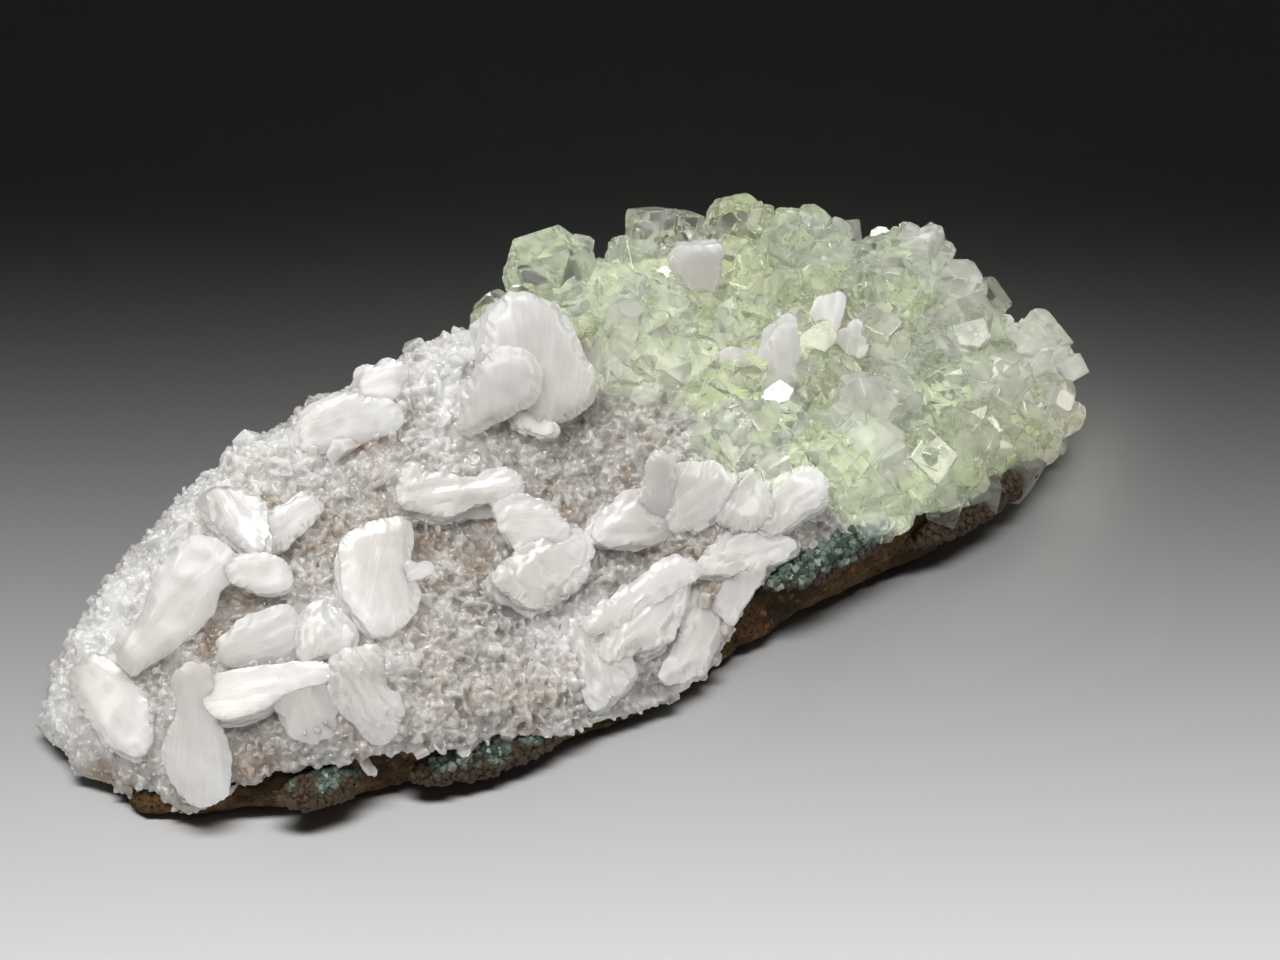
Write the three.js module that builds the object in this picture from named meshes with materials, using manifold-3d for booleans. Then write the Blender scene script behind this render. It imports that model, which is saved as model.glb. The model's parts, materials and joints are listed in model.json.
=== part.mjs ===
// A hand specimen of green apophyllite and white stilbite on a druse-covered plate of basalt.
// Units are millimetres, +Z is up, and the length runs along X with the apophyllite at the +X end.
// The plate lies on a flat patch of its underside. The pieces, from the bottom up: the basalt matrix,
// patches of celadonite rind along its rim, the druse crust, stilbite sheaves and apophyllite crystals.
import * as THREE from "three";
import { mergeVertices } from "three/addons/utils/BufferGeometryUtils.js";
import { ImprovedNoise } from "three/addons/math/ImprovedNoise.js";
import Module from "manifold-3d";

const wasm = await Module();
wasm.setup();

const SEAT_GAP = 0.3; // clearance left between a piece and what carries it

// Cross-sections of the plate at stations along its length. front and back are the plate's edges in
// plan, lipFront and lipBack the heights of the crust's lower rim there, ridge the crust's highest line.
const STATIONS = [
  { x: -85.5, front: 4, back: 12, lipFront: 2.5, lipBack: 2.5, ridge: 9 },
  { x: -82, front: -7, back: 16.5, lipFront: 2.5, lipBack: 3, ridge: 15 },
  { x: -76, front: -14.5, back: 21, lipFront: 2.5, lipBack: 5, ridge: 18 },
  { x: -71, front: -18.5, back: 23, lipFront: 8.5, lipBack: 7, ridge: 20 },
  { x: -62, front: -23, back: 26.5, lipFront: 10.5, lipBack: 10, ridge: 24 },
  { x: -53, front: -26, back: 30, lipFront: 12.5, lipBack: 12, ridge: 28 },
  { x: -44, front: -29, back: 32, lipFront: 10.5, lipBack: 13, ridge: 30 },
  { x: -34, front: -31, back: 33, lipFront: 9, lipBack: 14, ridge: 32 },
  { x: -25, front: -33, back: 34, lipFront: 6, lipBack: 15, ridge: 34 },
  { x: -14, front: -34, back: 34, lipFront: 4, lipBack: 15, ridge: 35 },
  { x: 4, front: -33, back: 34, lipFront: 4, lipBack: 16, ridge: 35.5 },
  { x: 9, front: -31, back: 34, lipFront: 15, lipBack: 16, ridge: 36.5 },
  { x: 19, front: -31, back: 33.5, lipFront: 18, lipBack: 16, ridge: 38.5 },
  { x: 30, front: -31, back: 33, lipFront: 16.5, lipBack: 16, ridge: 38.5 },
  { x: 44, front: -30, back: 30, lipFront: 13, lipBack: 15, ridge: 34 },
  { x: 58, front: -28, back: 25, lipFront: 9.5, lipBack: 12, ridge: 30 },
  { x: 72, front: -24, back: 15, lipFront: 6, lipBack: 9, ridge: 26 },
  { x: 82, front: -18, back: 4, lipFront: 4, lipBack: 7, ridge: 19.5 },
  { x: 87, front: -13, back: -4, lipFront: 4, lipBack: 6, ridge: 12 },
];
const RIDGE_AT = 0.82; // how far from the front edge to the back edge the ridge runs
const CRUST_THICKNESS = 5.5;
const CRUST_DRAPE = 1.6; // how far the crust overhangs the basalt's edges
const CRUST_STEP = 8.5; // spacing of the crust's sections along X
const CRUST_SAMPLES = 18; // points round each crust section
const ROCK_STEP = 9; // spacing of the basalt's sections along X
const ROCK_SAMPLES = 16; // points round each basalt section
const ROCK_INSET = 5; // how far the crust wraps past the basalt at the two ends
const ROCK_ROUNDING = 9; // how far the underside's rounded edge reaches in from the front
const SECTION_TENSION = 0.3; // how tightly a section's outline follows its corners
const TABLE = [400, 400, 40]; // stands for the surface that the plate lies on

// Rough surfaces: how far the relief stands out, how wide its bumps are, and where its noise starts.
const CRUST_RELIEF = { height: 1.3, size: 8, seed: 11 };
const ROCK_RELIEF = { height: 1.1, size: 10, seed: 37 };
const RIND_RELIEF = { height: 0.7, size: 3, seed: 71 };

// Stilbite grows as thick blades. Each one runs from one end of its midline to the other. width and
// thick are its greatest. belly is how much narrower a petal is towards its ends than in its middle or,
// when negative, how much a bow-tie narrows in its middle. arch lifts the middle out of the blade's
// plane, sway bends it within the plane, and turn rolls it about the midline from facing up the slope.
const SLOPE_FACING = new THREE.Vector3(-0.3, -0.5, 0.8).normalize();
const BLADE = { stations: 6, sides: 6, tip: 0.35, belly: 0.35, arch: 0, sway: 0, turn: 0 };
const BLADE_END_STEP = 0.3; // the end sections' place before the tips, in steps between sections
const BLADE_TAPER = 4; // a higher power keeps the blade full for longer before its tip
const BLADE_SECTION_POWER = 0.8; // below 1 squares the oval section
const SHEAVES = {
  stilbite_left_end_leaf: [
    { from: [-79.5, 8, 13], to: [-77, -9, 9.5], width: 9.5, thick: 6, arch: 1.5 },
  ],
  stilbite_elbow: [
    { from: [-70.5, -10, 23.5], to: [-75, -18.5, 9.5], width: 7.5, thick: 5.5, belly: -0.35, arch: 1 },
    { from: [-72, -12, 21], to: [-54.5, -19.5, 22.5], width: 5.5, thick: 5, belly: -0.2, turn: -15 },
  ],
  stilbite_white_block: [
    { from: [-52, -20, 25], to: [-52.5, -28.5, 14], width: 7.5, thick: 5.5, belly: -0.1 },
  ],
  stilbite_plate_stack: [
    { from: [-57, -14.5, 22], to: [-49, -13.5, 23.5], width: 6.5, thick: 5, belly: -0.1 },
  ],
  stilbite_grey_plate: [
    { from: [-68, -4, 20], to: [-54.5, -7, 23.5], width: 7.5, thick: 4, turn: 10 },
  ],
  stilbite_long_leaf: [
    { from: [-76, 4, 17], to: [-58.5, 5, 29], width: 9.6, thick: 6, arch: 1.5, sway: -2 },
    { from: [-62, 3, 28], to: [-51.5, -4.5, 27], width: 5.5, thick: 4.5, arch: 0.5 },
  ],
  stilbite_wings: [
    { from: [-52, 18.5, 29.5], to: [-55.5, 3, 29], width: 8, thick: 5, sway: 1 },
    { from: [-57.5, 3.2, 28], to: [-41, 7.5, 27.5], width: 5.5, thick: 5, belly: 0 },
  ],
  stilbite_mid_shell: [
    { from: [-33.5, -2.5, 27.5], to: [-44.5, -18, 21], width: 12, thick: 6.5, arch: 1.5, sway: -1.5 },
    { from: [-42, -11, 24], to: [-29.5, -9.5, 25.5], width: 3.5, thick: 3 },
  ],
  stilbite_centre_leaf: [
    { from: [-21.5, -6.5, 23], to: [-10.5, -19.5, 19.5], width: 13, thick: 5, arch: 1.2 },
  ],
  stilbite_centre_bar: [
    { from: [-30, 2, 28], to: [-12, -4.5, 27], width: 7, thick: 5.5, belly: -0.3, arch: -1 },
  ],
  stilbite_dome: [
    { from: [-6, 2.5, 27], to: [1, 15, 44.5], width: 17, thick: 11, arch: 1, turn: 8 },
    { from: [-10.5, 4.5, 27], to: [-4.5, 10.5, 41], width: 11, thick: 7, arch: 3 },
    { from: [-4, 4, 30], to: [0.5, -1, 30], width: 4, thick: 3 },
  ],
  stilbite_left_hump: [
    { from: [-37.5, 19, 32], to: [-22.5, 15, 32.5], width: 7, thick: 6, arch: 1.5 },
  ],
  stilbite_left_cap: [
    { from: [-27.5, 23, 33.5], to: [-18.5, 19, 36], width: 6, thick: 5, arch: 1 },
  ],
  stilbite_mid_fan: [
    { from: [4, -15.5, 18], to: [5.2, -13.5, 32], width: 4.4, thick: 4, belly: 0.15 },
    { from: [5, -16.5, 20], to: [-7, -13.5, 22], width: 6, thick: 4.5, arch: -0.5 },
    { from: [3.5, -16, 20], to: [12.5, -20.5, 30], width: 8, thick: 4, arch: 0.5, turn: -10 },
  ],
  stilbite_right_fan: [
    { from: [9, -25, 22.5], to: [18.5, -26, 29], width: 7.5, thick: 4, arch: 0.5 },
    { from: [12, -27.5, 23], to: [24, -30, 27], width: 7, thick: 4, arch: 0.5, turn: -10 },
  ],
  stilbite_petal: [
    { from: [4, -25, 17.5], to: [18, -32.5, 20.5], width: 7, thick: 3.2, arch: 1, turn: -10 },
  ],
  stilbite_blade: [
    { from: [12.5, -31, 19.5], to: [4.5, -32, 11], width: 4.5, thick: 2.8, turn: 20 },
  ],
  stilbite_long_leaf_front: [
    { from: [-15, -29.5, 14.5], to: [4.5, -24, 16.5], width: 8.5, thick: 4.5, arch: 1.5, sway: -1 },
  ],
  stilbite_bowl_leaf: [
    { from: [4.5, -27.5, 13.5], to: [-9, -35, 8], width: 7.5, thick: 4, arch: 0.5, turn: -15 },
  ],
  stilbite_needle_bundle: [
    { from: [-15.5, -23.5, 16], to: [-23, -34, 7], width: 5, thick: 3.5, belly: -0.2 },
  ],
  stilbite_small_bow: [
    { from: [23.5, -4, 32.5], to: [31, -7, 31], width: 4, thick: 3.5, belly: -0.3 },
  ],
  stilbite_summit_post: [
    { from: [30, 11, 35], to: [30.4, 13, 43.5], width: 6.5, thick: 5, belly: 0 },
  ],
  stilbite_pink_prism: [
    { from: [42.5, -4, 27], to: [48.5, -1, 33.5], width: 4.5, thick: 4, belly: 0 },
  ],
  stilbite_frosted_prism: [
    { from: [29.5, -11, 27], to: [32, -7, 37], width: 5.5, thick: 4.5, belly: 0 },
  ],
};

// Apophyllite is a square prism whose four corners are cut by a pyramid. at is where the crystal's axis
// meets the crust, wide its two widths and tall its length. point runs from 0, a block with clipped
// corners, to 1, a full point. The axis leans from upright towards a bearing, counted from +X to +Y,
// and spin turns the crystal about it. Crystals that grew through each other are one piece.
const ROOT = 0.25; // share of a crystal's length that is rooted in the crust
// Shares of a crystal's length, from its middle to where its shoulders start and to where they would meet.
const SHOULDER = { blunt: 0.3, sharp: 0.1 };
const APEX = { blunt: 0.95, sharp: 0.5 };
const CRYSTALS = {
  apophyllite_west_block: [
    { at: [11, 21.5], wide: [10, 10.5], tall: 13.5, point: 0.35, lean: 12, bearing: 150, spin: 25 },
    { at: [16, 15.5], wide: [8.5, 8], tall: 9, point: 0.2, lean: 25, bearing: -90, spin: 40 },
  ],
  apophyllite_grey_block: [
    { at: [13.5, 4.5], wide: [13, 9], tall: 10, point: 0.15, lean: 30, bearing: -70, spin: -30 },
    { at: [20.5, 0], wide: [6, 6], tall: 7, point: 0.3, lean: 25, bearing: -40, spin: 15 },
  ],
  apophyllite_summit: [
    { at: [34, 23.5], wide: [7, 7], tall: 14, point: 1, lean: 6, bearing: 20, spin: 10 },
    { at: [29.5, 24], wide: [4.5, 4.5], tall: 11, point: 0.3, lean: 5, bearing: 100, spin: 30 },
    { at: [26, 24], wide: [3.5, 3], tall: 8.5, point: 0.1, lean: 8, bearing: 180, spin: 5 },
  ],
  apophyllite_clear_west: [
    { at: [21.5, 10.2], wide: [7.5, 7], tall: 8.5, point: 0.3, lean: 20, bearing: -110, spin: 20 },
  ],
  apophyllite_ridge_block: [
    { at: [43.5, 18.5], wide: [8, 8], tall: 11.5, point: 0.3, lean: 8, bearing: 60, spin: 35 },
    { at: [39, 13], wide: [7, 7], tall: 8.5, point: 0.4, lean: 25, bearing: -100, spin: 10 },
  ],
  apophyllite_ridge_cube: [
    { at: [51, 15.8], wide: [6, 6], tall: 10.5, point: 0.25, lean: 6, bearing: 0, spin: 12 },
    { at: [56, 11], wide: [8, 8], tall: 10.5, point: 0.9, lean: 15, bearing: 30, spin: 30 },
  ],
  apophyllite_green_hollow: [
    { at: [47.5, 6.5], wide: [6.5, 6], tall: 7.5, point: 0.3, lean: 20, bearing: -80, spin: 25 },
  ],
  apophyllite_faceted_row: [
    { at: [33, 4], wide: [7, 6], tall: 8, point: 0.4, lean: 20, bearing: -60, spin: 5 },
    { at: [38, 2], wide: [5.5, 5.5], tall: 7, point: 0.6, lean: 25, bearing: -40, spin: 40 },
  ],
  apophyllite_sparkling: [
    { at: [58.8, 4], wide: [8, 7.5], tall: 9, point: 0.5, lean: 18, bearing: -90, spin: 20 },
  ],
  apophyllite_mint_ridge: [
    { at: [66, 6], wide: [9, 8.5], tall: 12, point: 0.6, lean: 10, bearing: 80, spin: 35 },
  ],
  apophyllite_east_cap: [
    { at: [71.5, 5.5], wide: [5.5, 5], tall: 11.5, point: 0.3, lean: 5, bearing: 120, spin: 15 },
    { at: [73.8, 1.5], wide: [6.5, 6], tall: 8.5, point: 0.2, lean: 15, bearing: -30, spin: 30 },
  ],
  apophyllite_end_cube: [
    { at: [80, -9.5], wide: [7, 6], tall: 7.5, point: 0.15, lean: 35, bearing: -40, spin: 10 },
    { at: [82, -13], wide: [5.5, 3], tall: 8, point: 0.2, lean: 30, bearing: 0, spin: 60 },
  ],
  apophyllite_frosted_pyramid: [
    { at: [69, -15.8], wide: [7.5, 7.5], tall: 10, point: 1, lean: 20, bearing: -60, spin: 15 },
  ],
  apophyllite_clear_pyramid: [
    { at: [57.5, -14.8], wide: [9, 9], tall: 9.5, point: 0.7, lean: 30, bearing: -110, spin: 25 },
  ],
  apophyllite_sharp_block: [
    { at: [46.5, -14.5], wide: [7, 7], tall: 8.5, point: 0.35, lean: 25, bearing: -80, spin: 35 },
  ],
  apophyllite_frosted_pair: [
    { at: [39.5, -16.8], wide: [6.5, 5.5], tall: 7, point: 0.15, lean: 20, bearing: -120, spin: 5 },
    { at: [38, -21.5], wide: [5.5, 5.5], tall: 6.5, point: 0.4, lean: 35, bearing: -90, spin: 45 },
  ],
  apophyllite_front_point: [
    { at: [60, -22.5], wide: [8.5, 8.5], tall: 11, point: 1, lean: 55, bearing: -100, spin: 0 },
    { at: [66.5, -25], wide: [6, 6], tall: 7.5, point: 0.4, lean: 40, bearing: -70, spin: 40 },
  ],
  apophyllite_front_green: [
    { at: [53, -26.5], wide: [6.5, 6.5], tall: 7.5, point: 0.5, lean: 45, bearing: -100, spin: 30 },
  ],
  apophyllite_olive_front: [
    { at: [42.5, -27], wide: [6, 6], tall: 7, point: 0.4, lean: 40, bearing: -80, spin: 10 },
    { at: [47.5, -25], wide: [5, 5], tall: 6.5, point: 0.5, lean: 35, bearing: -110, spin: 50 },
  ],
  apophyllite_mint_point: [
    { at: [17, -18.5], wide: [10.5, 10], tall: 17, point: 1, lean: 6, bearing: 160, spin: 5 },
    { at: [23, -17], wide: [6, 6], tall: 9, point: 0.5, lean: 15, bearing: -20, spin: 30 },
  ],
  apophyllite_green_mid: [
    { at: [37, -10], wide: [7, 6.5], tall: 8, point: 0.3, lean: 20, bearing: -70, spin: 20 },
    { at: [37.5, -4], wide: [5.5, 5.5], tall: 7, point: 0.5, lean: 20, bearing: -120, spin: 50 },
  ],
  apophyllite_rim_block: [
    { at: [29.5, -25], wide: [6.5, 6], tall: 8, point: 0.3, lean: 35, bearing: -90, spin: 25 },
  ],
  apophyllite_east_low: [
    { at: [75, -19.5], wide: [6, 6], tall: 7, point: 0.4, lean: 50, bearing: -60, spin: 15 },
  ],
  apophyllite_middle_green: [
    { at: [52.5, -5], wide: [7.5, 7], tall: 8, point: 0.5, lean: 20, bearing: -90, spin: 10 },
    { at: [57.5, -7.5], wide: [5.5, 5], tall: 6.5, point: 0.3, lean: 25, bearing: -60, spin: 40 },
  ],
  apophyllite_east_slope: [
    { at: [67, -5], wide: [7, 6.5], tall: 8, point: 0.4, lean: 25, bearing: -60, spin: 20 },
    { at: [64, -10], wide: [5.5, 5.5], tall: 7, point: 0.6, lean: 30, bearing: -100, spin: 45 },
  ],
  apophyllite_green_bed: [
    { at: [23.5, -7.5], wide: [6, 5.5], tall: 6.5, point: 0.4, lean: 20, bearing: -100, spin: 35 },
  ],
  apophyllite_back_west: [
    { at: [20, 27.5], wide: [7, 7], tall: 9, point: 0.5, lean: 35, bearing: 100, spin: 20 },
  ],
  apophyllite_back_middle: [
    { at: [36, 30], wide: [7, 6.5], tall: 9, point: 0.4, lean: 45, bearing: 90, spin: 40 },
  ],
  apophyllite_back_east: [
    { at: [61, 17], wide: [7, 7], tall: 9, point: 0.7, lean: 35, bearing: 70, spin: 15 },
  ],
};

// Celadonite lies in the notch between the crust's lower rim and the basalt. Each patch is a crumpled
// lens: its centre, its half sizes along X, Y and Z, and how its length is turned in plan.
const RIND_FACETS = [8, 4]; // round and from top to bottom
const RINDS = {
  celadonite_west: { centre: [-60, -24.5, 8], half: [6, 2.6, 2.4], turn: -10 },
  celadonite_middle: { centre: [-36, -30.5, 6], half: [13, 2.8, 2.6], turn: -10 },
  celadonite_notch: { centre: [24, -32, 15.5], half: [13, 2.6, 3], turn: 3 },
  celadonite_east: { centre: [54, -29.5, 9.5], half: [15, 2.4, 2.6], turn: 8 },
};

const noise = new ImprovedNoise();

const PALETTE = {
  basalt: { color: 0x4a3526, roughness: 0.85 },
  celadonite: { color: 0x5f8a72, roughness: 0.75 },
  druse: { color: 0xcfc6bf, roughness: 0.45 },
  stilbite: { color: 0xf1efea, roughness: 0.4 },
  apophyllite: { color: 0xc3dcc0, roughness: 0.15 },
};

const specimen = new THREE.Group();

// ---- solids -------------------------------------------------------------------------------------

function solidOf(geometry) {
  const bare = new THREE.BufferGeometry();
  const flat = geometry.index ? geometry.toNonIndexed() : geometry;
  bare.setAttribute("position", flat.getAttribute("position"));
  const merged = mergeVertices(bare, 1e-4);
  return new wasm.Manifold(
    new wasm.Mesh({
      numProp: 3,
      vertProperties: merged.getAttribute("position").array,
      triVerts: new Uint32Array(merged.index.array),
    }),
  );
}

function geometryOf(solid) {
  const { vertProperties, triVerts } = solid.getMesh();
  const geometry = new THREE.BufferGeometry();
  geometry.setAttribute("position", new THREE.BufferAttribute(vertProperties, 3));
  geometry.setIndex(new THREE.BufferAttribute(triVerts, 1));
  geometry.computeVertexNormals();
  return geometry;
}

function addPiece(name, look, solid) {
  const material = new THREE.MeshStandardMaterial({ ...PALETTE[look], metalness: 0 });
  const mesh = new THREE.Mesh(geometryOf(solid), material);
  mesh.name = name;
  specimen.add(mesh);
  return mesh;
}

// The same solid with its skin pushed outward by a clearance, so that a neighbour can be cut to fit it.
function grown(solid, gap) {
  const geometry = geometryOf(solid);
  const [position, normal] = [geometry.getAttribute("position"), geometry.getAttribute("normal")];
  for (let i = 0; i < position.count; i++) {
    const out = new THREE.Vector3().fromBufferAttribute(normal, i).multiplyScalar(gap);
    position.setXYZ(i, position.getX(i) + out.x, position.getY(i) + out.y, position.getZ(i) + out.z);
  }
  return solidOf(geometry);
}

function largestBody(solid) {
  return solid.decompose().sort((a, b) => b.volume() - a.volume())[0];
}

// A closed skin through rings of points, all of the same count, with a fan over each end.
function loft(rings) {
  const count = rings[0].length;
  const positions = rings.flat().flatMap((p) => [p.x, p.y, p.z]);
  const index = [];
  for (let r = 0; r + 1 < rings.length; r++) {
    for (let i = 0; i < count; i++) {
      const a = r * count + i;
      const b = r * count + ((i + 1) % count);
      index.push(a, a + count, b, b, a + count, b + count);
    }
  }
  for (const [ring, flip] of [[0, false], [rings.length - 1, true]]) {
    const centre = new THREE.Vector3();
    rings[ring].forEach((p) => centre.add(p));
    centre.divideScalar(count);
    const hub = positions.length / 3;
    positions.push(centre.x, centre.y, centre.z);
    for (let i = 0; i < count; i++) {
      const a = ring * count + i;
      const b = ring * count + ((i + 1) % count);
      index.push(...(flip ? [hub, b, a] : [hub, a, b]));
    }
  }
  const geometry = new THREE.BufferGeometry();
  geometry.setAttribute("position", new THREE.Float32BufferAttribute(positions, 3));
  geometry.setIndex(index);
  const solid = solidOf(geometry);
  if (solid.volume() > 0) return solid;
  const turned = [];
  for (let i = 0; i < index.length; i += 3) turned.push(index[i], index[i + 2], index[i + 1]);
  geometry.setIndex(turned);
  return solidOf(geometry);
}

// ---- the plate ----------------------------------------------------------------------------------

function stationAt(x) {
  const next = Math.max(1, STATIONS.findIndex((s) => s.x >= x));
  const [a, b] = [STATIONS[next - 1], STATIONS[next]];
  const t = THREE.MathUtils.clamp((x - a.x) / (b.x - a.x), 0, 1);
  return Object.fromEntries(Object.keys(a).map((k) => [k, THREE.MathUtils.lerp(a[k], b[k], t)]));
}

// Height of the crust's top before its relief: a slightly hollow slope up from the front rim to the ridge.
function crustHeight(station, across) {
  const rim = Math.min(station.lipFront + 7, station.ridge - 1);
  const rise = Math.min(across / RIDGE_AT, 1);
  return THREE.MathUtils.lerp(rim, station.ridge, rise ** 1.25);
}

function relief(point, { height, size, seed }) {
  const [x, y, z] = [point.x / size, point.y / size, point.z / size];
  const coarse = noise.noise(x + seed, y, z);
  const fine = noise.noise(2.3 * x, 2.3 * y + seed, 2.3 * z);
  return height * (1.4 * coarse + 0.7 * fine);
}

// Samples a smooth closed section and pushes each point out or in by the relief.
function ring(x, corners, samples, rough) {
  const curve = new THREE.CatmullRomCurve3(
    corners.map(([y, z]) => new THREE.Vector3(x, y, z)),
    true,
    "catmullrom",
    SECTION_TENSION,
  );
  const middle = new THREE.Vector3();
  corners.forEach(([y, z]) => middle.add(new THREE.Vector3(x, y, z)));
  middle.divideScalar(corners.length);
  return curve.getSpacedPoints(samples).slice(0, samples).map((point) => {
    const outward = point.clone().sub(middle).setX(0).normalize();
    point.addScaledVector(outward, relief(point, rough));
    return point;
  });
}

// Even spacings along the plate, starting and ending an inset short of its two ends.
function stationsBy(step, inset) {
  const [first, last] = [STATIONS[0].x + inset, STATIONS[STATIONS.length - 1].x - inset];
  const count = Math.round((last - first) / step);
  return Array.from({ length: count + 1 }, (_, i) => THREE.MathUtils.lerp(first, last, i / count));
}

// The crust's outside, closed through the inside of the rock.
function crustRings() {
  return stationsBy(CRUST_STEP, 0).map((x) => {
    const s = stationAt(x);
    const y = (across) => THREE.MathUtils.lerp(s.front, s.back, across);
    const inside = Math.min(s.lipBack, s.lipFront) + 1;
    const corners = [
      [s.front - CRUST_DRAPE, s.lipFront],
      [s.front - CRUST_DRAPE, Math.min(s.lipFront + 3.5, s.ridge - 3)],
      [y(0.08), crustHeight(s, 0.02)],
      [y(0.35), crustHeight(s, 0.35)],
      [y(0.62), crustHeight(s, 0.62)],
      [y(RIDGE_AT), s.ridge],
      [y(0.95), THREE.MathUtils.lerp(s.lipBack, s.ridge, 0.7)],
      [s.back + CRUST_DRAPE, THREE.MathUtils.lerp(s.lipBack, s.ridge, 0.3)],
      [s.back + CRUST_DRAPE - 0.8, s.lipBack],
      [y(0.8), inside],
      [y(0.2), inside],
    ];
    return ring(x, corners, CRUST_SAMPLES, CRUST_RELIEF);
  });
}

// The basalt reaches below the table, which then cuts its flat foot.
function rockRings() {
  return stationsBy(ROCK_STEP, ROCK_INSET).map((x) => {
    const s = stationAt(x);
    const y = (across) => THREE.MathUtils.lerp(s.front, s.back, across);
    const rounding = Math.min(ROCK_ROUNDING, (s.back - s.front) / 4);
    const top = (across) => crustHeight(s, across) - CRUST_THICKNESS;
    const corners = [
      [s.front + rounding, -2],
      [s.front + rounding * 0.35, Math.min(2, s.lipFront / 2)],
      [s.front, Math.min(6, s.lipFront * 0.7)],
      [s.front + 0.5, s.lipFront + 1.5],
      [y(0.12), top(0.1)],
      [y(0.4), top(0.4)],
      [y(0.7), top(0.7)],
      [y(RIDGE_AT + 0.04), top(1) - 1],
      [s.back - 1.5, s.lipBack + 3],
      [s.back, s.lipBack * 0.5],
      [s.back - 3, 0.5],
      [s.back - rounding, -2],
    ];
    return ring(x, corners, ROCK_SAMPLES, ROCK_RELIEF);
  });
}

// How high the crust stands over a point in plan, on the front slope and behind the ridge.
function crustTop(x, y) {
  const s = stationAt(x);
  const across = (y - s.front) / (s.back - s.front);
  if (across < RIDGE_AT) return crustHeight(s, across);
  return THREE.MathUtils.lerp(s.ridge, s.lipBack, (across - RIDGE_AT) / (1 - RIDGE_AT));
}

// ---- what grows on the plate --------------------------------------------------------------------

// Turns a circle's coordinate into that of a squarer, fuller outline.
function fuller(value) {
  return Math.sign(value) * Math.abs(value) ** BLADE_SECTION_POWER;
}

// One blade: rounded sections strung along an arched midline. gap makes it larger on every side.
function blade(spec, gap = 0) {
  const { from, to, width, thick, belly, arch, sway, turn, stations, sides, tip } = { ...BLADE, ...spec };
  const [start, end] = [new THREE.Vector3(...from), new THREE.Vector3(...to)];
  const along = end.clone().sub(start).normalize();
  const facing = SLOPE_FACING.clone().projectOnPlane(along).normalize();
  facing.applyAxisAngle(along, THREE.MathUtils.degToRad(turn));
  const side = facing.clone().cross(along);
  start.addScaledVector(along, -gap);
  end.addScaledVector(along, gap);
  const rings = Array.from({ length: stations }, (_, k) => {
    const phase = (k + BLADE_END_STEP) / (stations - 1 + 2 * BLADE_END_STEP);
    const place = -Math.cos(Math.PI * phase); // close to -1 at one end and to 1 at the other
    const bow = 1 - place * place;
    const fullness = 1 - (1 - tip) * Math.abs(place) ** BLADE_TAPER;
    const swell = belly > 0 ? 1 - belly * (1 - bow) : 1 + belly * bow;
    const halfWidth = (width / 2) * fullness * swell + gap;
    const halfThick = (thick / 2) * fullness + gap;
    const centre = start.clone().lerp(end, (place + 1) / 2);
    centre.addScaledVector(facing, arch * bow).addScaledVector(side, sway * bow);
    return Array.from({ length: sides }, (_, i) => {
      const angle = (2 * Math.PI * (i + 0.5)) / sides;
      const across = fuller(Math.cos(angle));
      const up = fuller(Math.sin(angle));
      return centre
        .clone()
        .addScaledVector(side, across * halfWidth)
        .addScaledVector(facing, up * halfThick);
    });
  });
  return loft(rings);
}

// One crystal: the prism, clipped by a bipyramid whose edges rise from the middle of the prism's faces.
function crystal({ at, wide, tall, point, lean, bearing, spin }, gap = 0) {
  const shoulder = THREE.MathUtils.lerp(SHOULDER.blunt, SHOULDER.sharp, point);
  const apex = THREE.MathUtils.lerp(APEX.blunt, APEX.sharp, point);
  const spread = 1 / (1 - shoulder / apex);
  const prism = new THREE.BoxGeometry(wide[0] + 2 * gap, wide[1] + 2 * gap, tall + 2 * gap);
  const pyramid = new THREE.OctahedronGeometry(1).scale(
    wide[0] * spread + 2 * gap,
    wide[1] * spread + 2 * gap,
    tall * apex + 2 * gap,
  );
  const upright = solidOf(prism).intersect(solidOf(pyramid));
  const tilt = new THREE.Vector3(0, 0, 1);
  tilt.applyAxisAngle(new THREE.Vector3(0, 1, 0), THREE.MathUtils.degToRad(lean));
  tilt.applyAxisAngle(new THREE.Vector3(0, 0, 1), THREE.MathUtils.degToRad(bearing));
  const swing = new THREE.Quaternion().setFromUnitVectors(new THREE.Vector3(0, 0, 1), tilt);
  const twist = new THREE.Quaternion().setFromAxisAngle(
    new THREE.Vector3(0, 0, 1),
    THREE.MathUtils.degToRad(spin),
  );
  const foot = new THREE.Vector3(at[0], at[1], crustTop(at[0], at[1]));
  foot.addScaledVector(tilt, tall * (0.5 - ROOT));
  const geometry = geometryOf(upright);
  geometry.applyQuaternion(swing.multiply(twist)).translate(foot.x, foot.y, foot.z);
  return solidOf(geometry);
}

// One celadonite patch: a sphere flattened to a lens and crumpled by the relief.
function rind({ centre, half, turn }) {
  const geometry = new THREE.SphereGeometry(1, ...RIND_FACETS);
  const position = geometry.getAttribute("position");
  for (let i = 0; i < position.count; i++) {
    const out = new THREE.Vector3().fromBufferAttribute(position, i).multiply(new THREE.Vector3(...half));
    const place = out.clone().add(new THREE.Vector3(...centre));
    out.setLength(out.length() + relief(place, RIND_RELIEF));
    position.setXYZ(i, out.x, out.y, out.z);
  }
  geometry.rotateZ(THREE.MathUtils.degToRad(turn)).translate(...centre);
  return solidOf(geometry);
}

function joined(specs, shape, gap) {
  return wasm.Manifold.union(specs.map((spec) => shape(spec, gap)));
}

// Adds a group of pieces in order. Each is cut back from the crust and from every piece before it.
const taken = [];
function addGrowth(pieces, look, shape) {
  for (const [name, specs] of Object.entries(pieces)) {
    const whole = joined(specs, shape, 0).subtract(crustClearance).subtract(rockClearance);
    const fitted = taken.reduce((left, other) => left.subtract(other), whole);
    addPiece(name, look, largestBody(fitted));
    taken.push(joined(specs, shape, SEAT_GAP));
  }
}

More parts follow.
